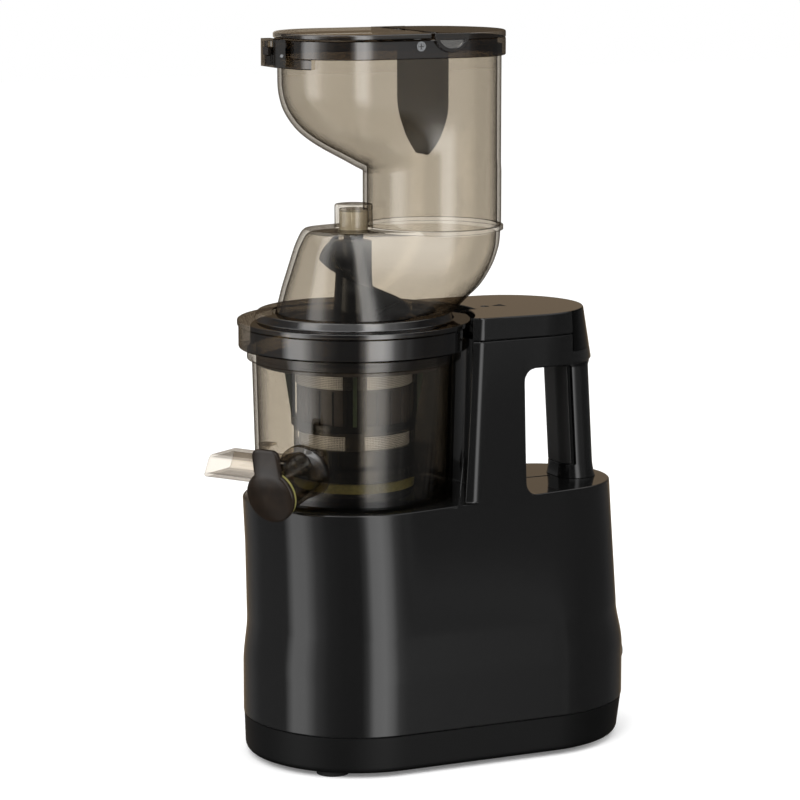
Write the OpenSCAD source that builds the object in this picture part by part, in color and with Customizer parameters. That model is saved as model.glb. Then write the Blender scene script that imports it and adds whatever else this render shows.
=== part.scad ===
// Cold press juicer: upright single-auger machine with a clear bowl and a wide feed chute.
// Front is -Y, the carry handle is at +Y, up is +Z. Sizes are in millimetres.
// Geometry is drawn about the auger axis, then every node is shifted by axis_x and axis_y
// so that the footprint of the finished machine is centred on the origin.

/* [Placing] */
// Auger axis, sideways from middle of footprint
axis_x = 12; // [8:0.1:16]
// Auger axis, forward (-) from middle of footprint
axis_y = -47.9; // [-52:0.1:-44]
// Overrun of every cutting solid past face that it cuts
over = 1; // [0.5:0.1:2]

/* [Base housing] */
// Height of rubber feet under tray
foot_h = 3; // [2:0.5:5]
// Depth of recess that holds a foot
foot_sink = 1.4; // [1:0.1:1.8]
// Radius of rubber foot
foot_r = 10; // [8:0.5:12]
// Radial gap between foot and its recess
foot_gap = 0.15; // [0.05:0.05:0.3]
// Forward feet, distance from auger axis along Y
foot_front_y = 34; // [28:1:38]
// Rear feet, distance from auger axis along Y
foot_rear_y = 140; // [130:1:145]
// Half distance between left and right feet
foot_x = 44; // [38:1:46]
// Floor thickness of tray
tray_floor = 3.2; // [2.8:0.1:4]
// Height of seam between tray and glossy housing
tray_top_z = 25.4; // [22:0.2:30]
// Radius of tray outline at its rounded bottom edge
tray_low_r = 67.5; // [66:0.5:69]
// Height of rounding on bottom edge of tray
tray_round_h = 3.6; // [2:0.2:6]
// Radius of tray outline above rounding
tray_mid_r = 70; // [69:0.2:70.4]
// Radius of tray outline at seam
tray_top_r = 70.6; // [70:0.1:70.9]
// Wall of tray and housing
shell_t = 3; // [2.5:0.1:3.6]
// Radius of housing skirt in plan
skirt_r = 71; // [70.9:0.1:74]
// Centre of front round of skirt along Y
skirt_front_y = 2; // [0:0.5:4]
// Centre of rear round of skirt along Y
skirt_rear_y = 108; // [100:1:112]
// Top of skirt, where housing steps in
skirt_top_z = 66; // [60:1:80]
// Height of sloping step between skirt and upper housing
step_h = 14; // [4:1:18]
// Radius of housing just above step
waist_r = 68.6; // [67:0.2:70]
// Centre of rear round just above step
waist_rear_y = 106; // [100:1:108]
// Height of deck on which the bowl stands
deck_z = 162; // [158:1:166]
// Front radius of deck
deck_front_r = 68; // [67:0.5:70]
// Rear radius of deck
deck_rear_r = 45; // [42:0.5:50]
// Centre of rear round of deck
deck_rear_y = 127; // [120:1:130]
// Thickness of deck
deck_t = 4; // [3.5:0.5:5]

/* [Tower] */
// Height of tower top
tower_top_z = 273; // [268:1:276]
// Seam height between tower and its cap
cap_seam_z = 259; // [256:1:262]
// Depth of tongue of cap inside tower
cap_tongue = 4; // [3:0.5:6]
// Gap round tongue of cap
cap_gap = 0.5; // [0.45:0.05:0.6]
// Half width of tower top, also the radius of its round rear
tower_r = 47; // [45:0.5:50]
// Centre of round rear of tower top
tower_rear_y = 105; // [100:1:108]
// Centre of forward round used to draw the tower top
tower_front_y = 40; // [34:1:46]
// Radius of hollow front that hugs the bowl
bay_r = 74; // [73.4:0.2:76]
// Wall between hollow front and inside of tower
bay_wall = 3; // [2.5:0.1:4]
// Width of bevel on two front corners of tower
corner_bevel = 5; // [3:0.5:7]
// Front wall of hand opening along Y
hand_y = 93; // [90:1:96]
// Top of hand opening
hand_top_z = 240; // [236:1:244]
// Corner radius of hand opening
hand_corner_r = 8; // [5:0.5:11]
// Depth of notch for locking tab below tower top
notch_d = 8; // [6:0.5:10]
// Reach of notch behind hollow front
notch_reach = 5; // [4:0.5:7]
// Width of parting groove on cap and rear deck
groove_w = 0.8; // [0.4:0.1:1.2]
// Depth of parting groove
groove_d = 0.8; // [0.4:0.1:1.2]
// Depth of plain alignment marks in cap
mark_d = 0.6; // [0.4:0.1:1]
// Size of plain alignment marks
mark_w = 5; // [3:0.5:7]
// Thickness of gloss band round rear of tower
band_t = 1.4; // [1.2:0.1:1.6]
// Bottom of gloss band
band_low_z = 248; // [246:0.5:252]
// Gap between gloss band and its seat
band_gap = 0.15; // [0.1:0.05:0.3]

/* [Handle] */
// Middle of grip along Y at deck
grip_y = 150.5; // [149:0.5:152]
// Forward lean of grip from deck to tower
grip_lean = 4.7; // [4:0.1:6]
// Half width of grip across the machine
grip_half_x = 16; // [14:0.5:18]
// Half depth of grip along machine
grip_half_y = 11.5; // [10:0.5:12]
// Height of foot boss of grip
grip_boss_h = 9; // [6:0.5:12]
// Height of neck at top of grip
grip_neck_h = 6; // [4:0.5:9]
// Extra half size of boss and neck over grip
grip_boss_out = 1.6; // [1:0.1:2]
// Depth of soft insert on front of grip
insert_t = 5; // [4:0.5:6]
// Width of shadow groove between insert and grip
insert_groove = 2.4; // [1.5:0.1:3]
// Depth of shadow groove
insert_groove_d = 2; // [1:0.5:3]

/* [Drive] */
// Radius of motor can
motor_r = 38; // [34:0.5:42]
// Bottom of motor above ground
motor_z = 34; // [32:0.5:36]
// Height of motor can
motor_h = 66; // [60:1:70]
// Sheet thickness of motor can
can_t = 2; // [1.5:0.1:2.5]
// Radius of rotor core
rotor_r = 20; // [18:0.5:22]
// Air gap between rotor and stator
air_gap = 0.8; // [0.6:0.1:1.2]
// Height of rotor core
rotor_h = 28; // [26:0.5:29]
// Radius of motor shaft
shaft_r = 3.5; // [3:0.1:4]
// Running gap on radius of shaft or pin
run_gap = 0.05; // [0.03:0.01:0.08]
// Radius of bearings
bearing_r = 9; // [8:0.5:10]
// Height of bearing
bearing_h = 7; // [6:0.5:8]
// Height of winding heads over stator core
winding_h = 3; // [2:0.5:4]
// Radius of cooling fan
fan_r = 30; // [26:0.5:33]
// Height of cooling fan
fan_h = 7; // [6:0.5:7.5]
// Tooth module of gearbox
gear_m = 1; // [0.9:0.05:1.1]
// Outer radius of gearbox
gearbox_r = 37; // [36.5:0.5:40]
// Height of gearbox
gearbox_h = 52; // [50:0.5:52]
// Floor and lid thickness of gearbox
gearbox_t = 4; // [3.5:0.5:5]
// Face width of gears in gearbox
gear_face = 14; // [10:1:16]
// Height of gears above gearbox floor
gear_lift = 3; // [2:0.5:4]
// Thickness of planet carrier plate
carrier_t = 5; // [4:0.5:6]
// Radius of planet pins
planet_pin_r = 3; // [2.5:0.1:3.5]
// Gap above and below running gear
side_gap = 0.8; // [0.5:0.1:1.2]
// Radius of output shaft
out_r = 7; // [6.5:0.1:7.5]
// Distance across the flats of drive hex
hex_af = 11; // [10:0.2:12]
// Height of drive hex above deck
hex_h = 36; // [30:1:40]
// Gap on each flat of hex socket
hex_gap = 0.25; // [0.15:0.05:0.4]

/* [Electrics] */
// Width of control board
board_w = 56; // [50:1:60]
// Length of control board
board_l = 62; // [56:1:66]
// Thickness of control board
board_t = 1.6; // [1.2:0.1:2]
// Control board above ground
board_z = 44; // [42:1:50]
// Middle of control board along Y
board_y = 112; // [108:1:116]
// Radius of posts under control board
board_post_r = 3; // [2.5:0.5:4]
// Half width of switch opening
switch_half_w = 7; // [6:0.5:8]
// Height of switch opening
switch_h = 17; // [15:0.5:19]
// Middle of switch above ground
switch_z = 260.5; // [259:0.5:262]
// Radius of rocker about its pivot
rocker_r = 10; // [9.4:0.1:10.5]
// Gap round rocker
rocker_gap = 0.5; // [0.4:0.1:0.8]
// Radius of rocker pivot
rocker_pin_r = 1.5; // [1.2:0.1:1.8]
// Outer radius of cord gland
gland_r = 7; // [6:0.5:8]
// Radius of cord hole in gland
gland_hole_r = 3.6; // [3:0.1:4]
// Cord gland above ground
gland_z = 44; // [40:1:50]
// Length of cord gland outside housing
gland_out = 7; // [5:0.5:9]

/* [Bowl] */
// Radius of bowl wall at deck
bowl_low_r = 60.3; // [59:0.1:61]
// Radius of bowl wall under its rim
bowl_top_r = 62.4; // [62:0.1:63]
// Wall of bowl
bowl_t = 2.5; // [2.2:0.1:3]
// Floor thickness of bowl
bowl_floor = 3; // [2.5:0.1:3.5]
// Gap between bowl and deck
seat_gap = 0.6; // [0.4:0.1:1]
// Bottom of rim ring of bowl
rim_low_z = 247; // [245:0.5:249]
// Height of rim ring of bowl
rim_h = 6.6; // [5:0.2:7]
// Radius of rim ring of bowl
rim_r = 65.4; // [64.5:0.1:66.5]
// Top of bowl neck inside collar
neck_top_z = 266; // [264:0.5:267]
// Reach of locking lugs on neck
lug_out = 1.9; // [1.5:0.1:2.1]
// Height of locking lugs
lug_h = 3; // [2.5:0.1:3.5]
// Height of locking lugs above rim ring
lug_lift = 3.5; // [3:0.1:4]
// Outer radius of inner pedestal of bowl
pedestal_r = 35.4; // [35:0.1:35.6]
// Height of pedestal above bowl floor
pedestal_h = 15.8; // [15.6:0.1:16]
// Width of pedestal
pedestal_t = 2.6; // [2.2:0.1:3]
// Height of silicone seal on pedestal
seal_h = 5.8; // [5:0.2:6]

/* [Juice spout] */
// Direction of juice spout, turned from front to right
spout_turn = 36; // [30:1:42]
// Downward slope of juice spout
spout_slope = 12; // [8:1:16]
// Outer radius of spout tube
spout_r = 14; // [13:0.5:15]
// Wall of spout tube
spout_t = 2.2; // [2:0.1:2.6]
// Height of spout axis at bowl wall above deck
spout_rise = 23; // [21:0.5:26]
// Spout mouth from auger axis
spout_reach = 94; // [90:0.5:98]
// Radius of flare where spout leaves the bowl
spout_flare_r = 17; // [16:0.5:18]
// Length of that flare past bowl wall
spout_flare_l = 7; // [5:0.5:9]
// Radius of cap disc
cap_r = 16; // [15.5:0.1:16.5]
// Thickness of cap disc
cap_t = 3.4; // [3:0.1:4]
// Thickness of cap gasket
cap_seal_t = 2; // [1.6:0.1:2.4]
// Height of cap pivot over spout axis
cap_pin_up = 18.6; // [18.2:0.2:20]
// Cap pivot behind spout mouth
cap_pin_back = 2.5; // [2:0.5:4]
// Radius of cap pivot pin
cap_pin_r = 1.5; // [1.2:0.1:1.8]
// Radius of knuckles of cap
cap_knuckle_r = 3.2; // [3:0.1:3.4]
// Half width of cap lever
lever_half_w = 9; // [8:0.5:10]
// Height of cap lever over pivot
lever_h = 11; // [9:0.5:13]
// Thickness of cap lever
lever_t = 3; // [2.5:0.1:3.5]

/* [Pulp outlet] */
// Direction of pulp outlet, turned from front to left
pulp_turn = 57; // [50:1:62]
// Width of pulp channel outside
pulp_w = 30; // [27:0.5:33]
// Height of pulp channel outside
pulp_h = 15; // [14:0.5:17]
// Wall of pulp channel
pulp_t = 2; // [1.8:0.1:2.4]
// Pulp mouth from auger axis
pulp_reach = 104; // [98:0.5:106]
// Slant of pulp mouth, top set back against bottom
pulp_slant = 5; // [3:0.5:7]
// Gap between pulp channel and deck
pulp_gap = 1.5; // [1.2:0.1:2]
// Length of ledge over pulp channel
ledge_l = 9; // [7:0.5:11]
// Thickness of ledge
ledge_t = 1.6; // [1.2:0.1:2]
// Height of ledge over pulp channel
ledge_up = 7; // [5:0.5:9]
// Height of leg of ledge
ledge_leg = 3; // [2:0.5:4]

/* [Pressing parts] */
// Outer radius of auger flights in strainer
flight_r = 32.4; // [32:0.1:32.6]
// Outer radius of auger flights in lower strainer
flight_low_r = 30.6; // [30:0.1:30.8]
// Radius of auger core at its foot
core_low_r = 24; // [22:0.5:25]
// Radius of auger core at strainer top
core_mid_r = 15; // [14:0.5:16]
// Radius of auger core at its top
core_top_r = 11; // [10.5:0.5:11.5]
// Largest radius of feed flight over strainer
feed_flight_r = 35.4; // [34:0.1:35.6]
// Radius of feed flight at its top
feed_top_r = 24; // [22:0.5:24.5]
// Pitch of pressing flights
press_pitch = 34; // [30:1:38]
// Pitch of feed flight
feed_pitch = 84; // [78:1:90]
// Direction in which the feed flight ends at its top
feed_end_turn = 245.4; // [0:0.2:360]
// Thickness of flight at core
flight_root_t = 6; // [5:0.2:7]
// Thickness of flight at its edge
flight_tip_t = 2.6; // [2:0.1:3]
// Radius of auger journal
journal_r = 6; // [5.5:0.1:6.5]
// Length of auger journal
journal_h = 16; // [14:0.5:17]
// Tooth module of brush drive
brush_m = 1.5; // [1.4:0.05:1.55]
// Face width of brush drive gears
brush_face = 4; // [3.8:0.1:4.1]
// Radius of idler gear post
idler_post_r = 3; // [2.6:0.1:3.4]
// Outer radius of strainer above its shoulder
strainer_r = 35.2; // [35:0.1:35.4]
// Outer radius of strainer below its shoulder
strainer_low_r = 33.4; // [33.2:0.1:33.6]
// Wall of strainer
strainer_t = 2; // [1.8:0.1:2.1]
// Height of strainer shoulder
shoulder_z = 206; // [204:0.5:208]
// Height of strainer top flange
flange_z = 244; // [243:0.5:245]
// Thickness of strainer top flange
flange_t = 2.4; // [2:0.1:2.6]
// Gap between strainer flange and bowl wall
flange_gap = 0.5; // [0.4:0.1:0.8]
// Thickness of steel mesh
mesh_t = 0.5; // [0.4:0.05:0.6]
// Width of juice slot in strainer
slot_w = 1.2; // [1:0.1:1.6]
// Outer radius of brush cage above shoulder
cage_r = 38.6; // [38.4:0.1:38.8]
// Outer radius of brush cage below shoulder
cage_low_r = 37; // [36.9:0.1:37.2]
// Thickness of brush cage wall
cage_t = 2.3; // [2:0.1:2.4]
// Thickness of wiper blade
wiper_t = 2.4; // [2:0.1:3]
// Reach of wiper blade beyond the cage at its top
wiper_out = 4; // [3:0.5:5]

/* [Hopper] */
// Rear radius of hopper at its foot
hop_back_r = 45; // [44:0.5:46]
// Centre of rear round at hopper foot
hop_back_y = 13; // [10:0.5:14]
// Reach of locking tab past collar
tab_out = 7; // [6:0.5:7.5]
// Radius of lock magnet
magnet_r = 2; // [1.5:0.1:2.2]
// Height of lock magnet
magnet_h = 2; // [1.5:0.1:2.2]
// Height of keeper band under rim of funnel
keeper_h = 6; // [5:0.5:7]
// Outer radius of collar
collar_r = 70.5; // [70:0.1:71]
// Inner radius of collar
collar_in_r = 63.2; // [63:0.1:63.4]
// Bottom of collar
collar_low_z = 254; // [253.8:0.1:254.6]
// Underside of collar flange
collar_flange_z = 268; // [267.5:0.5:268.5]
// Top of collar flange
collar_top_z = 271; // [270.5:0.5:271.5]
// Reach of collar flange past collar
collar_lip = 0.8; // [0.4:0.1:1]
// Radius of ring on top of collar
ring_r = 59; // [58:0.5:60]
// Top of that ring
ring_top_z = 276; // [275:0.5:277]
// Inner radius of feed throat
throat_r = 36.4; // [36.2:0.1:36.6]
// Wall of feed throat
throat_t = 2.4; // [2:0.1:2.6]
// Height of hopper deck
hop_deck_z = 326; // [324:0.5:328]
// Front radius of hopper deck
hop_deck_r = 27.5; // [26:0.5:29]
// Centre of front round of hopper deck
hop_deck_y = -4; // [-6:0.5:-2]
// Front radius of hopper at its foot
hop_foot_r = 49; // [48:0.5:50]
// Outer radius of feed chute
chute_r = 42.2; // [41.5:0.1:43]
// Chute axis behind auger axis
chute_y = 52.6; // [51:0.2:54]
// Wall of clear hopper parts
clear_t = 2.5; // [2.2:0.1:2.8]
// Small step where round tube of chute meets the funnel
tube_step = 0.3; // [0.25:0.05:0.5]
// Height of joint flange between chute and hopper
joint_h = 2.5; // [2:0.1:3]
// Reach of that joint flange
joint_out = 1.6; // [1.2:0.1:2]
// Outer radius of bearing boss
boss_r = 11.6; // [11.4:0.1:12]
// Height of bearing boss over hopper deck
boss_h = 15; // [14:0.5:16]
// Wall of bush in boss
bush_t = 2.6; // [2.2:0.1:3]
// Top of clear funnel wall
funnel_top_z = 436; // [435:0.5:437]
// Front radius of funnel mouth
mouth_r = 42; // [41:0.5:43]
// Centre of front round of funnel mouth
mouth_y = -4; // [-6:0.5:-2]
// Bottom of funnel where it joins the chute
funnel_low_z = 359; // [356:0.5:362]
// Bottom of rim ring of hopper
hop_rim_z = 430; // [429:0.5:431]
// Top of rim ring of hopper
hop_rim_top_z = 441; // [440.5:0.5:441.5]
// Gap between rim ring and funnel
hop_rim_gap = 0.35; // [0.3:0.05:0.5]
// Width of rim ring
hop_rim_t = 2.2; // [2:0.1:2.6]
// Thickness of lid and rear cover over rim ring
lid_t = 4; // [3.5:0.5:5]
// Gap between lid and rim ring
lid_gap = 0.5; // [0.4:0.1:0.7]
// Rear edge of lid along Y
lid_rear_y = 31.3; // [31:0.1:31.6]
// Lid pin along Y
lid_pin_y = 34.6; // [34.2:0.1:35]
// Height of lid pin
lid_pin_z = 441.9; // [441.7:0.1:442.1]
// Radius of lid pin
lid_pin_r = 1.2; // [1:0.1:1.4]
// Radius of hinge knuckles of lid
knuckle_r = 2.7; // [2.5:0.1:2.8]
// Half length of middle hinge knuckle
knuckle_half = 16; // [14:1:18]
// Front edge of fixed rear cover along Y
cover_y = 39; // [38.8:0.1:39.4]
// Radius of round ears of rear cover
ear_r = 11.5; // [11:0.5:12]
// Middle of ears along Y
ear_y = 44; // [43.5:0.5:45]
// Thickness of ears
ear_t = 1.8; // [1.5:0.1:2.2]
// Width of raised frame of ear
ear_frame = 2.4; // [2:0.1:3]

/* [Latch and flap] */
// Half width of latch
latch_half_w = 12; // [11:0.5:13]
// Front face of latch along Y
latch_front_y = -55; // [-56:0.5:-54.5]
// Bottom of latch
latch_low_z = 425; // [424:0.5:426]
// Wall of latch housing
latch_t = 1.6; // [1.4:0.1:1.8]
// Half width of latch button
button_half_w = 4; // [3.5:0.5:4.5]
// Height of latch button
button_h = 6; // [5:0.5:7]
// Reach of latch button past latch face
button_out = 2; // [1.5:0.1:2.2]
// Height of latch pivot
latch_pin_z = 432; // [431.5:0.5:432.5]
// Radius of latch pivot
latch_pin_r = 1; // [0.8:0.1:1.2]
// Half width of latch lever
latch_lever_half = 8; // [7:0.5:9]
// Flap pin along Y
flap_pin_y = 46; // [45:0.5:47]
// Height of flap pin
flap_pin_z = 436.6; // [436.2:0.1:437]
// Radius of flap pin
flap_pin_r = 1.5; // [1.2:0.1:1.8]
// Half width of flap at its top
flap_half_w = 35; // [33:0.5:36]
// Length of flap below its pin
flap_l = 67; // [62:1:70]
// Thickness of flap
flap_t = 2.2; // [1.8:0.1:2.6]

/* [Screws] */
// Shank radius of screws
screw_r = 1.5; // [1.3:0.1:1.7]
// Head radius of screws
screw_head_r = 2.9; // [2.6:0.1:3.1]
// Head height of screws
screw_head_h = 1.6; // [1.4:0.1:1.8]
// Radius of bosses that take the screws
screw_boss_r = 4.5; // [4:0.1:5]
// Length of tray screws
tray_screw_l = 14; // [12:0.5:16]
// Gap between screw head and its recess
head_gap = 0.2; // [0.1:0.05:0.3]

/* [Hidden] */
$fn = 96;
oval_n = 24;
// Share tables: each row is a share of height span, with shares of change of
// Front radius, rear offset and front offset between two ends of form
elbow_z_shares = [0, 0.09, 0.236, 0.345, 0.49, 0.636, 0.818, 1];
elbow_front_shares = [0, 0.08, 0.195, 0.28, 0.42, 0.56, 0.744, 1];
elbow_rear_shares = [0, 0.16, 0.42, 0.616, 0.783, 0.9, 0.98, 1];
funnel_z_shares = [0, 0.078, 0.156, 0.26, 0.312, 0.416, 0.48, 0.7, 1];
funnel_front_shares = [0.5, 0.595, 0.69, 0.774, 0.833, 0.905, 0.952, 1, 1];
funnel_shift_shares = [0.6, 0.516, 0.36, 0.193, 0.125, 0.067, 0.035, 0, 0];
flap_z_shares = [0, 0.5, 0.62, 0.74, 0.87, 1];
flap_w_shares = [1, 1, 0.94, 0.8, 0.58, 0.22];
tooth_shares = [1.28, 0.84, 0.42];
space_shares = [1.62, 1.2, 0.74];
feed_flight_shares = [0.97, 1, 0.93, 0.82];
rocker_shares = [[-0.2, -0.5], [0.4, -0.62], [0.84, -0.66], [0.68, 0], [0.84, 0.66], [0.4, 0.62],
  [-0.2, 0.5]];

// Shared forms

function mix(a, b, t) = a + (b - a) * t;

// outline of two rounds joined by their common tangents, drawn counter-clockwise
function oval(rf, yf, rr, yr) =
let (t = asin((rf - rr) / (yr - yf)))
concat(
  [for (i = [0:oval_n]) let (a = mix(t, 180 - t, i / oval_n)) [rr * cos(a), yr + rr * sin(a)]],
  [for (i = [0:oval_n]) let (a = mix(180 - t, 360 + t, i / oval_n)) [rf * cos(a), yf + rf * sin(a)]]);

// outline of a rounded rectangle, drawn counter-clockwise
function pad(hx, hy, r, cy) =
[for (q = [0:3]) for (i = [0:6])
  let (a = 90 * q + 15 * i, sx = (q == 0 || q == 3) ? 1 : -1, sy = q < 2 ? 1 : -1)
  [sx * (hx - r) + r * cos(a), cy + sy * (hy - r) + r * sin(a)]];

// solid through a stack of outlines with the same number of points
module loft(zs, outlines) {
  m = len(outlines[0]);
  k = len(zs);
  pts = [for (j = [0:k - 1]) for (p = outlines[j]) [p[0], p[1], zs[j]]];
  sides = [for (j = [0:k - 2]) for (i = [0:m - 1])
    let (a = j * m + i, b = j * m + (i + 1) % m)
    each [[a, a + m, b + m], [a, b + m, b]]];
  low = [[for (i = [0:m - 1]) i]];
  high = [[for (i = [0:m - 1]) k * m - 1 - i]];
  polyhedron(points = pts, faces = concat(low, high, sides), convexity = 6);
}

// ring or sector of a ring round the Z axis
module ring(r0, r1, z0, h) {
  translate([0, 0, z0]) difference() {
    cylinder(r = r1, h = h);
    rod(r0, -over, h + 2 * over);
  }
}

module sector(r0, r1, a0, a1, z0, h) {
  rotate([0, 0, a0]) rotate_extrude(angle = a1 - a0) translate([r0, z0]) square([r1 - r0, h]);
}

module rod(r, z0, h) {
  translate([0, 0, z0]) cylinder(r = r, h = h);
}

// bar along X between -half and half
module cross_bar(r, y, z, half) {
  translate([-half, y, z]) rotate([0, 90, 0]) cylinder(r = r, h = 2 * half);
}

// box between two corners
module span(a, b) {
  translate(a) cube([b[0] - a[0], b[1] - a[1], b[2] - a[2]]);
}

// six-sided bar, measured across its flats
module hex_bar(af, z0, h) {
  translate([0, 0, z0]) linear_extrude(height = h)
    polygon([for (i = [0:5]) af / sqrt(3) * [cos(60 * i), sin(60 * i)]]);
}

// box as wide as 2 * half across the machine, between two corners given as [y, z]
module wide(half, a, b) {
  span([-half, a[0], a[1]], [half, b[0], b[1]]);
}

// copies at equal steps round the Z axis
module around(n, r, a0 = 0) {
  for (i = [0:n - 1]) rotate([0, 0, a0 + 360 * i / n]) translate([r, 0, 0]) children();
}

module both_sides() {
  children();
  mirror([1, 0, 0]) children();
}

// outline of a toothed round: radius in modules and half tooth angle in shares, from the root up
function gear_pts(z, m, low, high, shares) =
let (p = z * m / 2, s = 90 / z, rows = [[low, shares[0]], [0, shares[1]], [high, shares[2]]])
[for (i = [0:z - 1]) for (k = [0:5])
  let (q = rows[k < 3 ? k : 5 - k], r = p + q[0] * m, a = 360 * i / z + (k < 3 ? -1 : 1) * q[1] * s)
  [r * cos(a), r * sin(a)]];

module gear(z, m, h) {
  linear_extrude(height = h) polygon(gear_pts(z, m, -1.15, 0.9, tooth_shares));
}

// the hollow of an internal gear, its spaces wider than the teeth that run in them
module gear_hollow(z, m, h) {
  rotate([0, 0, 180 / z]) linear_extrude(height = h) polygon(gear_pts(z, m, -0.85, 1.2, space_shares));
}

module placed() {
  translate([axis_x, axis_y, 0]) children();
}

// Housing forms

function deck_share(z) = (z - deck_z) / (tower_top_z - deck_z);
function tower_line(z, inset) =
let (t = deck_share(z))
oval(mix(deck_front_r, tower_r, t) - inset, mix(0, tower_front_y, t),
  mix(deck_rear_r, tower_r, t) - inset, mix(deck_rear_y, tower_rear_y, t));
function tower_back(z) = mix(deck_rear_y + deck_rear_r, tower_rear_y + tower_r, deck_share(z));

module housing_form(inset, z0, z1) {
  loft([z0, skirt_top_z, skirt_top_z + step_h, z1], [
    oval(skirt_r - inset, skirt_front_y, skirt_r - inset, skirt_rear_y),
    oval(skirt_r - inset, skirt_front_y, skirt_r - inset, skirt_rear_y),
    oval(waist_r - inset, skirt_front_y, waist_r - inset, waist_rear_y),
    oval(deck_front_r - inset, 0, deck_rear_r - inset, deck_rear_y)]);
}

module tower_form(inset, z0, z1) {
  loft([z0, z1], [tower_line(z0, inset), tower_line(z1, inset)]);
}

module bay(extra) {
  rod(bay_r + extra, deck_z, tower_top_z - deck_z + over);
}

// side view of the hand opening, grown by a wall on every side
module hand_hole(grow) {
  r = hand_corner_r;
  y0 = hand_y - grow;
  y1 = deck_rear_y + deck_rear_r + skirt_r;
  z0 = deck_z - grow;
  z1 = hand_top_z + grow;
  translate([-skirt_r - over, 0, 0]) rotate([90, 0, 90])
    linear_extrude(height = 2 * (skirt_r + over)) polygon(concat(
      [[y1, z0], [y1, z1]],
      [for (i = [0:6]) [y0 + r + r * cos(90 + 15 * i), z1 - r + r * sin(90 + 15 * i)]],
      [for (i = [0:6]) [y0 + r + r * cos(180 + 15 * i), z0 + r + r * sin(180 + 15 * i)]]));
}

// cutter for the bevel on one front corner of the tower
function bevel_line(xs, b) =
let (p1 = [xs - b, sqrt(bay_r * bay_r - (xs - b) * (xs - b))],
  p2 = [xs, sqrt(bay_r * bay_r - xs * xs) + 1.8 * b],
  l = norm(p2 - p1),
  n = [(p2[1] - p1[1]) / l, -(p2[0] - p1[0]) / l],
  d = (p2 - p1) / l)
[p1 - b * d, p1 - b * d + 6 * b * n, p2 + 3 * b * d + 6 * b * n, p2 + 3 * b * d];

module corner_cuts() {
  low_x = mix(deck_front_r, deck_rear_r, 0.34);
  both_sides() loft([deck_z, tower_top_z + over],
    [bevel_line(low_x, corner_bevel * 0.8), bevel_line(tower_r, corner_bevel)]);
}

module band_form(grow) {
  z0 = band_low_z - grow;
  z1 = tower_top_z - band_t / 2 + grow;
  intersection() {
    difference() {
      tower_form(-grow, z0, z1);
      tower_form(band_t + grow, z0 - over, z1 + over);
    }
    wide(skirt_r, [tower_rear_y + tower_r * 0.52 - grow, z0 - over],
      [tower_rear_y + deck_rear_r + skirt_r, z1 + over]);
  }
}

module switch_hole(grow) {
  span([-switch_half_w - grow, tower_rear_y, switch_z - switch_h / 2 - grow],
    [switch_half_w + grow, tower_rear_y + tower_r + skirt_r, switch_z + switch_h / 2 + grow]);
}

// Base: tray, housing, tower

tray_low_z = foot_h;
motor_top_z = motor_z + motor_h;
gearbox_z = motor_top_z;
deck_low_z = deck_z - deck_t;
tray_screw_x = skirt_r - shell_t - 2 * screw_boss_r;

module foot_spots() {
  for (sx = [-1, 1])
    for (y = [-foot_front_y, foot_rear_y])
      translate([sx * foot_x * (y > 0 ? 0.8 : 1), y, 0]) children();
}

module tray_screw_spots() {
  for (sx = [-1, 1])
    for (y = [0, waist_rear_y * 0.9])
      translate([sx * tray_screw_x, y, 0]) children();
}

module base_tray() {
  placed() color("#161616") difference() {
    union() {
      difference() {
        loft([tray_low_z, tray_low_z + tray_round_h, tray_top_z], [
          oval(tray_low_r, skirt_front_y, tray_low_r, skirt_rear_y - skirt_front_y),
          oval(tray_mid_r, skirt_front_y, tray_mid_r, skirt_rear_y - skirt_front_y),
          oval(tray_top_r, skirt_front_y, tray_top_r, skirt_rear_y)]);
        loft([tray_low_z + tray_floor, tray_top_z + over], [
          oval(tray_low_r - shell_t, skirt_front_y, tray_low_r - shell_t, skirt_rear_y - skirt_front_y),
          oval(tray_top_r - shell_t, skirt_front_y, tray_top_r - shell_t, skirt_rear_y)]);
      }
      tray_screw_spots()
        rod(screw_boss_r, tray_low_z + tray_floor / 2, tray_top_z - tray_low_z - 3 * tray_floor);
      for (sx = [-1, 1])
        for (sy = [-1, 1])
          translate([sx * (board_w / 2 - board_post_r), board_y + sy * (board_l / 2 - board_post_r), 0])
            rod(board_post_r, tray_low_z + tray_floor / 2, board_z - tray_low_z - tray_floor / 2);
    }
    foot_spots() rod(foot_r + foot_gap, tray_low_z - over, foot_sink + over);
    tray_screw_spots() {
      rod(screw_head_r + head_gap, tray_low_z - over, screw_head_h + over);
      rod(screw_r, tray_low_z, tray_top_z);
    }
    for (i = [-3:3])
      span([i * 2 * foot_r * 0.5 - tray_floor / 2, deck_rear_y * 0.5, tray_low_z - over],
        [i * 2 * foot_r * 0.5 + tray_floor / 2, deck_rear_y * 0.66, tray_low_z + tray_floor + over]);
  }
}

module rubber_feet() {
  placed() color("#1c1c1c") foot_spots() rod(foot_r, 0, foot_h + foot_sink);
}

module tray_screws() {
  placed() color("#b9bcc0") tray_screw_spots() {
    rod(screw_head_r, tray_low_z, screw_head_h);
    rod(screw_r, tray_low_z + screw_head_h, tray_screw_l);
  }
}

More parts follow.
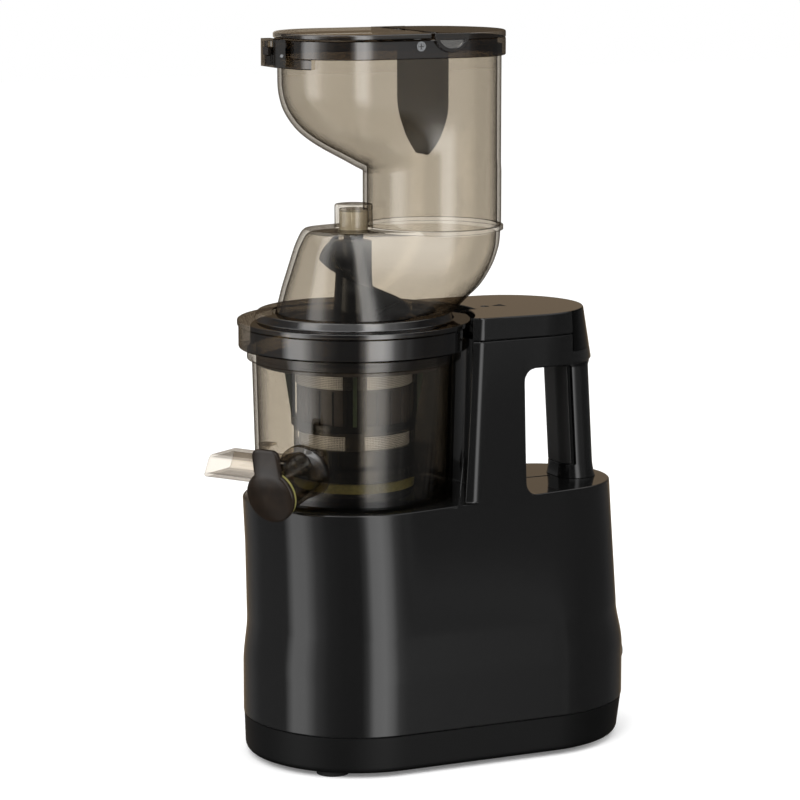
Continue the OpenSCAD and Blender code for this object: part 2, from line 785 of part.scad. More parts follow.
module housing_shell() {
  placed() color("#1b1b1c") difference() {
    union() {
      difference() {
        union() {
          housing_form(0, tray_top_z, deck_z);
          difference() {
            tower_form(0, deck_z, cap_seam_z);
            bay(0);
            hand_hole(0);
            corner_cuts();
          }
        }
        housing_form(shell_t, tray_top_z - over, deck_low_z);
        difference() {
          tower_form(shell_t, deck_low_z - over, cap_seam_z + over);
          bay(bay_wall);
          rod(bay_r + bay_wall, deck_low_z - 2 * over, deck_t + 3 * over);
          hand_hole(shell_t);
        }
        switch_hole(0);
        band_form(band_gap);
      }
      tray_screw_spots()
        rod(screw_boss_r, tray_top_z - 2 * tray_floor - tray_floor / 2, 2 * tray_top_z);
      for (sx = [-1, 1])
        for (y = [0, waist_rear_y * 0.9])
          span([sx > 0 ? tray_screw_x : -skirt_r + shell_t / 2, y - shell_t / 2, tray_top_z + over],
            [sx > 0 ? skirt_r - shell_t / 2 : -tray_screw_x, y + shell_t / 2, 2 * tray_top_z]);
      around(3, gearbox_r - 2 * shell_t, 30)
        rod(screw_boss_r, gearbox_z + gearbox_h, deck_low_z - gearbox_z - gearbox_h + over);
    }
    tray_screw_spots() rod(screw_r, tray_low_z, tray_screw_l + screw_head_h);
    rod(out_r + 2 * bush_t, deck_low_z - over, deck_t + 2 * over);
    translate([0, 0, gland_z]) rotate([-90, 0, 0])
      cylinder(r = gland_r, h = skirt_rear_y + skirt_r + over);
    for (i = [0:4])
      span([-board_w / 3, skirt_rear_y, gland_z + 2 * gland_r + 2 * i * shell_t],
        [board_w / 3, skirt_rear_y + skirt_r + over, gland_z + 2 * gland_r + (2 * i + 1) * shell_t]);
    span([-groove_w / 2, hand_y, deck_z - groove_d],
      [groove_w / 2, grip_y - grip_half_y - 2 * grip_boss_out, deck_z + over]);
  }
}

module notch_form() {
  sector(bay_r - over, bay_r + notch_reach, 83, 117, tower_top_z - notch_d, notch_d + over);
}

// room inside the tower for the body of the switch
module switch_pocket() {
  hw = switch_half_w + shell_t + cap_gap;
  hz = switch_h / 2 + shell_t + cap_gap;
  wide(hw, [switch_low_y - 4 * shell_t, switch_z - hz], [switch_seat_y + over, switch_z + hz - shell_t]);
}

module tower_cap() {
  low = cap_seam_z - cap_tongue;
  placed() color("#1b1b1c") difference() {
    union() {
      difference() {
        tower_form(0, cap_seam_z, tower_top_z);
        corner_cuts();
        bay(0);
      }
      difference() {
        tower_form(shell_t + cap_gap, low, cap_seam_z + shell_t);
        bay(bay_wall + cap_gap);
      }
    }
    difference() {
      tower_form(2 * shell_t, low - over, tower_top_z - shell_t);
      bay(bay_wall + notch_reach + bay_wall);
    }
    notch_form();
    switch_hole(cap_gap);
    switch_pocket();
    band_form(band_gap);
    translate([0, bay_r + 2 * notch_reach + mark_w, tower_top_z - mark_d])
      cylinder(r = mark_w / 2, h = mark_d + over);
    translate([0, bay_r + 2 * notch_reach + 3 * mark_w, tower_top_z - mark_d]) rotate([0, 0, 90])
      cylinder(r = mark_w, h = mark_d + over, $fn = 3);
  }
}

module gloss_band() {
  placed() color("#060606") difference() {
    band_form(0);
    switch_hole(0);
  }
}

// outline of the grip at a height, grown by g
function grip_line(z, g) =
  pad(grip_half_x + g, grip_half_y + g, grip_half_y * 0.9 + g, grip_mid(z));
function grip_mid(z) = grip_y - grip_lean * (z - deck_z) / (hand_top_z - deck_z);
grip_low_z = deck_z + grip_boss_h;
grip_high_z = hand_top_z - grip_neck_h;

module grip_core() {
  z0 = grip_low_z - over;
  z1 = grip_high_z + over;
  loft([z0, z1], [grip_line(z0, -insert_groove_d), grip_line(z1, -insert_groove_d)]);
}

// all of the grip that lies less than d behind its front
module grip_front(d) {
  function line(z) = pad(2 * grip_half_x, d, over, grip_mid(z) - grip_half_y);
  loft([grip_low_z, grip_high_z], [line(grip_low_z), line(grip_high_z)]);
}

module handle_grip() {
  rows = [[deck_z, grip_boss_out], [grip_low_z - grip_boss_out, grip_boss_out], [grip_low_z, 0],
    [grip_high_z, 0], [grip_high_z + grip_boss_out, grip_boss_out / 2], [hand_top_z, grip_boss_out / 2]];
  placed() color("#1d1d1e") difference() {
    loft([for (q = rows) q[0]], [for (q = rows) grip_line(q[0], q[1])]);
    difference() {
      grip_front(insert_t + insert_groove);
      grip_core();
    }
  }
}

module grip_insert() {
  placed() color("#232322") intersection() {
    difference() {
      loft([grip_low_z, grip_high_z], [grip_line(grip_low_z, 0), grip_line(grip_high_z, 0)]);
      grip_core();
    }
    grip_front(insert_t);
  }
}

module deck_seal() {
  placed() color("#8d8a4e") ring(out_r + run_gap, out_r + 2 * bush_t, deck_low_z, deck_t);
}

// Drive: motor, gearbox

motor_hub_r = bearing_r + can_t;
bearing_low_z = motor_z + 2 * can_t;
bearing_high_z = motor_top_z - 2 * can_t - bearing_h;
fan_z = bearing_low_z + bearing_h + side_gap;
core_z = bearing_high_z - winding_h - rotor_h - 2 * side_gap;
gear_z = gearbox_z + gearbox_t + gear_lift;
carrier_z = gear_z + gear_face + side_gap;
planet_orbit = 18 * gear_m;
lid_low_z = gearbox_z + gearbox_h - gearbox_t;

module motor_can() {
  placed() color("#8f9296") difference() {
    union() {
      difference() {
        rod(motor_r, motor_z, motor_h);
        rod(motor_r - can_t, motor_z + 2 * can_t, motor_h - 4 * can_t);
        around(8, 0)
          span([motor_r - 3 * can_t, -can_t, fan_z], [motor_r + over, can_t, fan_z + fan_h]);
      }
      ring(bearing_r, motor_hub_r, motor_z + can_t, can_t + bearing_h);
      ring(bearing_r, motor_hub_r, bearing_high_z, bearing_h + can_t);
    }
    rod(bearing_r - can_t, motor_z + motor_h / 2, motor_h);
    rod(shaft_r + can_t, motor_z - over, 3 * can_t);
    around(6, motor_r * 0.6) rod(2 * can_t, motor_z - over, 3 * can_t);
  }
}

module stator() {
  placed() color("#a4582a") {
    difference() {
      union() {
        rod(motor_r - can_t, core_z, rotor_h);
        rod(motor_r * 0.86, core_z - winding_h, rotor_h + 2 * winding_h);
      }
      rod(rotor_r + air_gap, core_z - 2 * winding_h, rotor_h + 4 * winding_h);
      around(12, rotor_r + air_gap) rod(winding_h, core_z - 2 * winding_h, rotor_h + 4 * winding_h);
    }
  }
}

module motor_bearings() {
  placed() color("#c9ccd0") {
    ring(shaft_r + run_gap, bearing_r, bearing_low_z, bearing_h);
    ring(shaft_r + run_gap, bearing_r, bearing_high_z, bearing_h);
  }
}

module gearbox_case() {
  placed() color("#6f7276") difference() {
    rod(gearbox_r, gearbox_z, gearbox_h - gearbox_t);
    rod(gearbox_r - shell_t, gearbox_z + gearbox_t, gearbox_h);
    rod(shaft_r + can_t, gearbox_z - over, gearbox_t + 2 * over);
  }
}

module gearbox_lid() {
  placed() color("#6f7276") difference() {
    union() {
      rod(gearbox_r, lid_low_z, gearbox_t);
      rod(out_r + 3 * bush_t, lid_low_z - gearbox_t, gearbox_t);
    }
    rod(out_r + 2 * bush_t, lid_low_z - gearbox_t - over, 2 * gearbox_t + 2 * over);
    around(3, gearbox_r - 2 * shell_t, 30) rod(screw_r, lid_low_z - over, gearbox_t + 2 * over);
  }
}

module ring_gear() {
  placed() color("#b7b9bc") difference() {
    rod(gearbox_r - shell_t, gearbox_z + gearbox_t, gear_lift + gear_face);
    translate([0, 0, gearbox_z + gearbox_t - over])
      gear_hollow(60, gear_m, gear_lift + gear_face + 2 * over);
  }
}

module output_bearing() {
  placed() color("#c9ccd0")
    ring(out_r + run_gap, out_r + 2 * bush_t, lid_low_z - gearbox_t, 2 * gearbox_t);
}

module motor_bracket() {
  leg_r = 2 * tray_floor;
  placed() color("#2a2b2d") {
    difference() {
      rod(motor_r + shell_t, motor_z - shell_t, shell_t);
      rod(motor_r * 0.4, motor_z - shell_t - over, shell_t + 2 * over);
      around(6, motor_r * 0.6) rod(2 * can_t, motor_z - shell_t - over, shell_t + 2 * over);
    }
    around(3, motor_r - leg_r, 90)
      rod(leg_r, tray_low_z + tray_floor, motor_z - shell_t / 2 - tray_low_z - tray_floor);
  }
}

module rotor() {
  placed() color("#7d8084") {
    rod(shaft_r, bearing_low_z, gear_z - bearing_low_z);
    rod(rotor_r, core_z, rotor_h);
    translate([0, 0, gear_z]) gear(12, gear_m, gear_face);
  }
}

module cooling_fan() {
  hub = 2 * shaft_r;
  placed() color("#27292b") {
    ring(shaft_r, hub, fan_z, fan_h);
    difference() {
      rod(fan_r, fan_z, can_t / 2);
      rod(hub - can_t / 4, fan_z - over, can_t + 2 * over);
    }
    around(9, 0)
      span([hub - can_t / 4, -can_t / 3, fan_z + can_t / 2], [fan_r - can_t / 2, can_t / 3, fan_z + fan_h]);
  }
}

module planet_carrier() {
  placed() color("#b9bcc0") {
    difference() {
      rod(planet_orbit + 3 * planet_pin_r, carrier_z, carrier_t);
      around(3, planet_orbit, 60) rod(2 * planet_pin_r, carrier_z - over, carrier_t + 2 * over);
    }
    around(3, planet_orbit)
      rod(planet_pin_r, gear_z, gear_face + side_gap + carrier_t / 2);
    rod(out_r, carrier_z, deck_z - carrier_z);
    hex_bar(hex_af, deck_z - over, hex_h + over);
  }
}

module planet_gear(i) {
  placed() color("#d8cfae") rotate([0, 0, 120 * i]) translate([planet_orbit, 0, gear_z])
    difference() {
      rotate([0, 0, 7.5]) gear(24, gear_m, gear_face);
      rod(planet_pin_r + run_gap, -over, gear_face + 2 * over);
    }
}

module planet_gear_a() { planet_gear(0); }
module planet_gear_b() { planet_gear(1); }
module planet_gear_c() { planet_gear(2); }

// Electrics

switch_pivot_y = tower_back(switch_z) - 0.7 * rocker_r;
switch_low_y = switch_pivot_y - 0.6 * rocker_r;
switch_seat_y = tower_back(switch_z) - shell_t - shell_t;

module control_board() {
  x = board_w / 2;
  y = board_l / 2;
  t = board_z + board_t;
  u = board_w / 10;
  placed() color("#2d5a34") wide(x, [board_y - y, board_z], [board_y + y, t]);
  placed() color("#33363a") {
    span([-x + u / 2, board_y + y - 3 * u, t], [-x + 3 * u, board_y + y - u / 2, t + 2.4 * u]);
    span([-x + u / 2, board_y - u, t], [-x + 3 * u, board_y + 1.5 * u, t + 1.8 * u]);
    for (i = [0:2])
      translate([x - 2 * u, board_y - y + (2 + 2.6 * i) * u, 0]) rod(u, t, 2.6 * u);
    span([0, board_y + u, t], [u, board_y + 4 * u, t + 3 * u]);
    span([-u, board_y - y + u, t], [2 * u, board_y - y + 2 * u, t + u]);
    span([-x + u / 2, board_y - y + u / 2, t], [-x + 2.5 * u, board_y - y + 3 * u, t + u]);
  }
}

module reed_sensor() {
  w = 2 * mark_w;
  placed() color("#2f6a3a") translate([0, bay_r + notch_reach + 2 * bay_wall, tower_top_z - notch_d])
    span([-w / 2, 0, -shell_t], [w / 2, shell_t, shell_t]);
}

module switch_body() {
  hw = switch_half_w + shell_t;
  hz = switch_h / 2 + shell_t;
  side = switch_half_w - rocker_gap;
  placed() color("#141415") difference() {
    union() {
      wide(hw, [switch_low_y - shell_t, switch_z - hz], [switch_seat_y, switch_z + hz - shell_t]);
      for (sx = [-1, 0, 1])
        span([sx * hw / 2 - can_t / 4, switch_low_y - 3 * shell_t, switch_z - shell_t],
          [sx * hw / 2 + can_t / 4, switch_low_y - shell_t, switch_z + shell_t]);
    }
    wide(switch_half_w, [switch_low_y, switch_z - switch_h / 2],
      [tower_back(switch_z) + over, switch_z + switch_h / 2]);
    cross_bar(rocker_pin_r + run_gap, switch_pivot_y, switch_z, switch_half_w + 0.6 * shell_t);
  }
}

module power_rocker() {
  placed() color("#101011") {
    translate([-switch_half_w + rocker_gap, switch_pivot_y, switch_z]) rotate([90, 0, 90])
      linear_extrude(height = 2 * (switch_half_w - rocker_gap))
        polygon([for (p = rocker_shares) p * rocker_r]);
    for (sx = [-1, 1])
      translate([sx * (switch_half_w - rocker_gap), switch_pivot_y, switch_z])
        rotate([0, sx * 90, 0])
          cylinder(r = rocker_pin_r, h = rocker_gap + 0.4 * shell_t);
  }
}

module cord_gland() {
  y1 = skirt_rear_y + skirt_r;
  placed() color("#131313") translate([0, 0, gland_z]) rotate([-90, 0, 0]) difference() {
    union() {
      rod(gland_r, y1 - 2 * shell_t, 2 * shell_t + gland_out);
      rod(gland_r + shell_t, y1 - 2.4 * shell_t, shell_t);
    }
    rod(gland_hole_r, y1 - 3 * shell_t, 6 * shell_t + gland_out);
  }
}

// Bowl

bowl_z = deck_z + seat_gap;
bowl_floor_z = bowl_z + bowl_floor;
bowl_in_low = bowl_low_r - bowl_t;
bowl_in_top = bowl_top_r - bowl_t;
pedestal_top_z = bowl_floor_z + pedestal_h;
brush_gear_z = pedestal_top_z - brush_face - seat_gap + 0.3 * seat_gap;
cage_plate_z = pedestal_top_z + seat_gap * 0.6;
idler_orbit = 17 * brush_m;
idler_turn = 60;
spout_l = (spout_reach - bowl_low_r) / cos(spout_slope);

module bowl_hollow() {
  translate([0, 0, bowl_floor_z])
    cylinder(r1 = bowl_in_low, r2 = bowl_in_top, h = rim_low_z - bowl_floor_z);
  rod(bowl_in_top, rim_low_z - over / 20, neck_top_z - rim_low_z + over);
}

// place of the idler gear
module idler_spot() {
  rotate([0, 0, idler_turn]) translate([idler_orbit, 0, 0]) children();
}

// room for the idler gear in the pedestal
module idler_room() {
  idler_spot() rod(10.6 * brush_m, brush_gear_z - seat_gap, pedestal_h);
}

// frame with +Z along the spout axis and -X upwards
module spout_frame() {
  rotate([0, 0, spout_turn - 90]) translate([bowl_low_r, 0, deck_z + spout_rise])
    rotate([0, 90 + spout_slope, 0]) children();
}

// bar on the pivot line of the cap, in that frame
module cap_pivot(r, half) {
  translate([-cap_pin_up, -half, spout_l - cap_pin_back]) rotate([-90, 0, 0])
    cylinder(r = r, h = 2 * half);
}

// frame with +X along the pulp outlet
module pulp_frame() {
  rotate([0, 0, -90 - pulp_turn]) children();
}

// closed duct of the pulp outlet: low under the brush, taller outside the bowl
duct_top_z = brush_gear_z - seat_gap * 1.6;
pulp_low_z = deck_z + pulp_gap;

module pulp_channel(inset) {
  w = pulp_w / 2 - inset;
  z0 = pulp_low_z + inset;
  z1 = pulp_low_z + pulp_h - inset;
  x1 = pulp_reach + (inset > 0 ? over : 0);
  translate([0, w, 0]) rotate([90, 0, 0]) linear_extrude(height = 2 * w)
    polygon([[bowl_low_r - bowl_t / 2, z0], [x1, z0],
      [x1 - pulp_slant * (z1 - z0) / pulp_h, z1], [bowl_low_r - bowl_t / 2, z1]]);
}

module bowl_form() {
  translate([0, 0, bowl_z]) cylinder(r1 = bowl_low_r, r2 = bowl_top_r, h = rim_low_z - bowl_z);
}

module juice_bowl() {
  placed() color("#9c9386", 0.45) difference() {
    union() {
      difference() {
        union() {
          bowl_form();
          rod(bowl_top_r, rim_low_z, neck_top_z - rim_low_z);
          rod(rim_r, rim_low_z, rim_h);
          for (a = [30, 150, 270])
            sector(bowl_top_r - over, bowl_top_r + lug_out, a - 7, a + 7,
              rim_low_z + rim_h + lug_lift, lug_h);
          spout_frame() {
            rod(spout_r, -bowl_t, spout_l + bowl_t);
            rod(spout_flare_r, -bowl_t, bowl_t);
            cylinder(r1 = spout_flare_r, r2 = spout_r, h = spout_flare_l);
            for (y = cap_pin_r * 14 / 3 * [-1, 1])
              span([-cap_pin_up - cap_knuckle_r * 0.7, y - cap_pin_r, spout_l - 2 * cap_pin_back],
                [-spout_r * 0.8, y + cap_pin_r, spout_l - 0.2 * cap_pin_back]);
          }
          pulp_frame() translate([bowl_low_r, 0, pulp_low_z + pulp_h + ledge_up]) {
            span([0, -ledge_l / 2, 0], [ledge_l, ledge_l / 2, ledge_t]);
            span([ledge_l * 0.6, -ledge_l / 2, -ledge_leg],
              [ledge_l * 0.6 + ledge_t, ledge_l / 2, ledge_t / 2]);
          }
        }
        bowl_hollow();
      }
      difference() {
        ring(pedestal_r - pedestal_t, pedestal_r, bowl_floor_z, pedestal_h);
        idler_room();
      }
      idler_spot()
        rod(2 * idler_post_r, bowl_floor_z, brush_gear_z - seat_gap * 0.5 - bowl_floor_z);
      intersection() {
        pulp_frame()
          span([pedestal_r - pedestal_t / 2, -pulp_w * 0.42, bowl_floor_z],
            [bowl_low_r, pulp_w * 0.42, duct_top_z]);
        rod(bowl_low_r - bowl_t / 2, bowl_floor_z, pedestal_h);
      }
    }
    rod(out_r + bush_t / 2, bowl_z - over, bowl_floor + 2 * over);
    spout_frame() rod(spout_r - spout_t, -4 * bowl_t, spout_l + 4 * bowl_t + over);
    pulp_frame() {
      pulp_channel(pulp_t);
      span([pedestal_r - 2 * pedestal_t, -pulp_w * 0.42 + pulp_t, bowl_floor_z],
        [bowl_low_r + pulp_t / 2, pulp_w * 0.42 - pulp_t, duct_top_z - pulp_t]);
    }
    spout_frame() cap_pivot(cap_pin_r, spout_r);
  }
}

// duct that carries the pulp away, fixed to the wall of the bowl
module pulp_outlet() {
  placed() color("#9c9386", 0.45) difference() {
    pulp_frame() pulp_channel(0);
    bowl_form();
    pulp_frame() pulp_channel(pulp_t);
  }
}

module pedestal_seal() {
  placed() color("#8d8a4e") difference() {
    ring(pedestal_r, pedestal_r + pedestal_t * 0.6, bowl_floor_z + bowl_floor, seal_h);
    pulp_frame() span([0, -pulp_w * 0.44, bowl_z], [bowl_low_r, pulp_w * 0.44, pedestal_top_z]);
    idler_room();
  }
}

module idler_post() {
  placed() color("#c9ccd0") idler_spot()
    rod(idler_post_r, brush_gear_z - seat_gap * 0.5, brush_face + seat_gap * 0.5);
}

module idler_gear() {
  placed() color("#e4e0d4") idler_spot() translate([0, 0, brush_gear_z])
    difference() {
      rotate([0, 0, 10]) gear(18, brush_m, brush_face);
      rod(idler_post_r + run_gap, -over, brush_face + 2 * over);
    }
}

module juice_cap() {
  z0 = spout_l + cap_seal_t;
  placed() color("#2a2622", 0.85) spout_frame() difference() {
    union() {
      rod(cap_r, z0, cap_t);
      translate([0, 0, z0 + cap_t]) cylinder(r1 = cap_r * 0.9, r2 = cap_r * 0.8, h = cap_t / 4);
      span([-cap_pin_up - lever_h, -lever_half_w, z0], [-cap_r * 0.4, lever_half_w, z0 + lever_t]);
      span([-cap_pin_up - cap_knuckle_r * 0.8, -cap_knuckle_r * 1.5, spout_l - cap_pin_back],
        [-cap_pin_up + cap_knuckle_r * 0.8, cap_knuckle_r * 1.5, z0 + lever_t / 2]);
      cap_pivot(cap_knuckle_r, cap_knuckle_r * 1.5);
    }
    cap_pivot(cap_pin_r + run_gap, spout_r);
  }
}

module cap_gasket() {
  placed() color("#8d8a4e") spout_frame() difference() {
    rod(cap_r * 0.97, spout_l + cap_seal_t * 0.1, cap_seal_t * 0.9);
    rod(spout_r * 0.6, spout_l, cap_seal_t);
  }
}

module cap_pin() {
  placed() color("#b9bcc0") spout_frame()
    cap_pivot(cap_pin_r, cap_pin_r * 17 / 3);
}

// Pressing parts

auger_low_z = bowl_floor_z + seat_gap * 0.7;
sleeve_r = out_r + bush_t * 0.8;
strainer_z = pedestal_top_z;
core_z0 = strainer_z + strainer_t * 1.4;
auger_top_z = hop_deck_z - 3 * clear_t;
socket_z = pedestal_top_z + 0.4 * seat_gap;

function core_r(z) = z < flange_z
? mix(core_low_r, core_mid_r, (z - core_z0) / (flange_z - core_z0))
: mix(core_mid_r, core_top_r, min(1, (z - flange_z) / ((auger_top_z - flange_z) * 0.72)));

// helical flight: rows of four points, swept into one solid
module flight(z0, z1, pitch, start, radii, steps) {
  dz = (z1 - z0) / steps;
  rows = [for (i = [0:steps])
    let (z = z0 + dz * i,
      t = i / steps,
      a = start - 360 * (z - z0) / pitch,
      k = t * (len(radii) - 1),
      j = min(floor(k), len(radii) - 2),
      r1 = mix(radii[j], radii[j + 1], k - j),
      r0 = core_r(z) - 0.3 * flight_root_t,
      e = min(1, 6 * t + 0.2, 6 * (1 - t) + 0.2),
      ro = max(r0 + flight_tip_t, mix(core_r(z), r1, e)),
      h0 = flight_root_t / 2,
      h1 = flight_tip_t / 2)
    [[r0 * cos(a), r0 * sin(a), z - h0], [ro * cos(a), ro * sin(a), z - h1],
      [ro * cos(a), ro * sin(a), z + h1], [r0 * cos(a), r0 * sin(a), z + h0]]];
  pts = [for (r = rows) each r];
  n = 4 * steps;
  sides = [for (i = [0:steps - 1]) for (q = [0:3])
    let (a = 4 * i + q, b = 4 * i + (q + 1) % 4)
    each [[a, b + 4, b], [a, a + 4, b + 4]]];
  polyhedron(points = pts, faces = concat([[0, 1, 2, 3], [n + 3, n + 2, n + 1, n]], sides), convexity = 10);
}

module auger() {
  turn = shoulder_z + flight_root_t;
  h = flight_root_t / 2;
  top_z = hop_deck_z - clear_t - h - seat_gap * 2;
  core_mid_z = mix(flange_z, auger_top_z, 0.72);
  placed() color("#17140f") {
    difference() {
      union() {
        rotate_extrude()
          polygon([[0, auger_low_z], [sleeve_r, auger_low_z], [sleeve_r, pedestal_top_z - seat_gap * 0.4],
            [core_low_r * 0.56, pedestal_top_z - seat_gap * 0.4], [core_low_r * 0.56, core_z0],
            [core_low_r, core_z0 + over], [core_mid_r, flange_z], [core_top_r, core_mid_z],
            [core_top_r, auger_top_z], [journal_r, auger_top_z], [journal_r, auger_top_z + journal_h],
            [0, auger_top_z + journal_h]]);
        for (q = [0, 180])
          flight(core_z0 + h + over, turn - h, press_pitch, q, [flight_low_r, flight_low_r], 24);
        for (q = [0, 180])
          flight(turn + h / 2, flange_z - h, press_pitch, q + 40, [flight_r, flight_r], 32);
        flight(flange_z - h, top_z, feed_pitch, feed_end_turn + 360 * (top_z - flange_z + h) / feed_pitch,
          concat(flight_r, feed_flight_shares * feed_flight_r, feed_top_r), 36);
      }
      rod(out_r + bush_t * 0.3, auger_low_z - over, socket_z - auger_low_z + over);
      rod(sleeve_r + bush_t * 0.2, socket_z, hex_h - socket_z + deck_z + bush_t);
    }
  }
}

module auger_gear() {
  placed() color("#1d1b18") rotate([0, 0, idler_turn]) translate([0, 0, brush_gear_z]) difference() {
    gear(16, brush_m, brush_face);
    rod(sleeve_r, -over, brush_face + 2 * over);
  }
}

module auger_socket() {
  h = hex_h - socket_z + deck_z + bush_t;
  placed() color("#a7aaad") difference() {
    rod(sleeve_r + bush_t * 0.2, socket_z, h);
    hex_bar(hex_af + 2 * hex_gap, socket_z - over, h - bush_t / 2 + over);
  }
}

mesh_high_z = mix(shoulder_z, flange_z, 0.7);
mesh_high_h = (flange_z - shoulder_z) * 0.26;
mesh_low_z = mix(strainer_z, shoulder_z, 0.54);
mesh_low_h = (shoulder_z - strainer_z) * 0.4;

// cutter for a window in the wall of a round basket
module side_window(r, w, z0, z1) {
  span([0, -w / 2, z0], [r + over, w / 2, z1]);
}

module strainer_frame() {
  placed() color("#8d8b88") difference() {
    union() {
      rod(strainer_low_r, strainer_z, shoulder_z - strainer_z);
      rod(strainer_r, shoulder_z, flange_z + flange_t - shoulder_z);
      rod(bowl_in_top - flange_gap, flange_z, flange_t);
    }
    rod(strainer_low_r - strainer_t, strainer_z + strainer_t, shoulder_z - strainer_z);
    rod(strainer_r - strainer_t, shoulder_z + strainer_t * 0.2, flange_z + flange_t);
    rod(core_low_r * 0.6, strainer_z - over, strainer_t + 2 * over);
    pulp_frame() translate([core_low_r, 0, 0])
      rod(core_low_r * 0.28, strainer_z - over, strainer_t + 2 * over);
    around(8, 0) {
      side_window(strainer_r, 0.66 * strainer_r, mesh_high_z, mesh_high_z + mesh_high_h);
      side_window(strainer_r, 0.62 * strainer_r, mesh_low_z, mesh_low_z + mesh_low_h);
    }
    around(24, 0) side_window(strainer_r, slot_w, shoulder_z + strainer_t * 1.5, mesh_high_z - strainer_t);
  }
}

module strainer_mesh() {
  placed() color("#c4c6c8") {
    ring(strainer_r, strainer_r + mesh_t, mesh_high_z - mesh_t, mesh_high_h + 2 * mesh_t);
    ring(strainer_low_r, strainer_low_r + mesh_t, mesh_low_z - mesh_t, mesh_low_h + 2 * mesh_t);
  }
}

ring_gear_r = 26 * brush_m;
cage_shoulder_z = shoulder_z + strainer_t * 0.2;

module brush_cage() {
  top_z = flange_z - seat_gap;
  ring_h = cage_t;
  placed() color("#7e7c7a", 0.8) difference() {
    union() {
      rod(ring_gear_r + 3 * brush_m, brush_gear_z, cage_plate_z + cage_t - brush_gear_z);
      rod(cage_low_r, cage_plate_z, cage_shoulder_z - cage_plate_z + ring_h);
      rod(cage_r, cage_shoulder_z, top_z - cage_shoulder_z);
    }
    rotate([0, 0, idler_turn]) translate([0, 0, brush_gear_z - over])
      gear_hollow(52, brush_m, cage_plate_z - brush_gear_z + over);
    rod(cage_low_r - cage_t, brush_gear_z, cage_shoulder_z - brush_gear_z + ring_h / 2);
    rod(cage_r - cage_t, shoulder_z - seat_gap, top_z);
    around(4, 0, 22) {
        side_window(cage_r, 1.12 * cage_r, cage_shoulder_z + 1.6 * ring_h, top_z - ring_h);
        side_window(cage_r, 1.12 * cage_r, mesh_low_z, shoulder_z - cage_t);
        rotate([0, 0, 45]) span([cage_r * 0.8, -wiper_t / 2, cage_shoulder_z + 1.6 * ring_h],
          [cage_r + over, wiper_t / 2, top_z + over]);
      }
  }
}

module wiper_blades() {
  top_z = flange_z - seat_gap;
  z0 = cage_shoulder_z + 1.6 * cage_t;
  placed() color("#2f3f28")
    for (i = [0:3])
      rotate([0, 0, 90 * i + 67]) translate([0, wiper_t / 2, 0]) rotate([90, 0, 0])
        linear_extrude(height = wiper_t)
          polygon([[cage_r - cage_t - seat_gap * 0.3, z0], [cage_r, z0], [cage_r, z0 + cage_t],
            [cage_r + wiper_out, top_z - 2 * cage_t], [cage_r + wiper_out, top_z - cage_t],
            [cage_r, top_z - cage_t], [cage_r, top_z], [cage_r - cage_t - seat_gap * 0.3, top_z]]);
}

// Hopper

function elbow_outlines(inset) = [for (i = [0:7])
  oval(mix(hop_foot_r, hop_deck_r, elbow_front_shares[i]) - inset,
    hop_deck_y * elbow_front_shares[i],
    mix(hop_back_r, chute_r, elbow_rear_shares[i]) - inset,
    mix(hop_back_y, chute_y, elbow_rear_shares[i]))];

module elbow_form(inset, z0, z1) {
  loft([for (s = elbow_z_shares) mix(z0, z1, s)], elbow_outlines(inset));
}

module hopper_base() {
  lug_z = rim_low_z + rim_h + lug_lift;
  g = hop_rim_gap * 2;
  placed() color("#9c9386", 0.45) difference() {
    union() {
      rod(collar_r, collar_low_z, collar_top_z - collar_low_z);
      rod(collar_r + collar_lip, collar_flange_z, collar_top_z - collar_flange_z);
      rod(ring_r, collar_top_z, ring_top_z - collar_top_z);
      throat_sleeve();
      elbow_form(0, collar_top_z, hop_deck_z);
      rod(boss_r, hop_deck_z - clear_t, boss_h + clear_t);
      translate([0, chute_y, 0]) rod(chute_r + joint_out, hop_deck_z - joint_h, joint_h);
      sector(collar_r - over, collar_r + tab_out, 86, 94, collar_flange_z - over,
        collar_top_z - collar_flange_z + over);
    }
    difference() {
      rod(collar_in_r, collar_low_z - over, collar_flange_z - collar_low_z + over);
      rod(throat_r + throat_t, collar_low_z - 2 * over, collar_top_z);
    }
    elbow_form(clear_t, collar_top_z, hop_deck_z - clear_t);
    rod(throat_r, collar_low_z - over, collar_top_z - collar_low_z + 2 * over);
    translate([0, chute_y, 0])
      rod(chute_r - clear_t - hop_rim_gap, hop_deck_z - 2 * clear_t, 2 * clear_t + over);
    rod(journal_r + run_gap + bush_t, hop_deck_z - 2 * clear_t, boss_h + clear_t * 0.8);
    for (a = [30, 150, 270]) {
      sector(collar_in_r - over, bowl_top_r + lug_out + seat_gap, a - 30, a + 9, lug_z - g, lug_h + 2 * g);
      sector(collar_in_r - over, bowl_top_r + lug_out + seat_gap, a - 30, a - 12, collar_low_z - over,
        lug_z - collar_low_z + 2 * over);
    }
    translate([0, collar_r + tab_out / 2, 0])
      rod(magnet_r, collar_top_z - magnet_h, magnet_h + over);
  }
}

module throat_sleeve() {
  z0 = flange_z + flange_t + seat_gap;
  ring(throat_r, throat_r + throat_t, z0, collar_low_z - z0 + over / 2);
}

function funnel_outlines(inset) = [for (i = [0:8])
  oval(mouth_r * funnel_front_shares[i] - inset, mix(mouth_y, chute_y, funnel_shift_shares[i]),
    chute_r - inset, chute_y)];

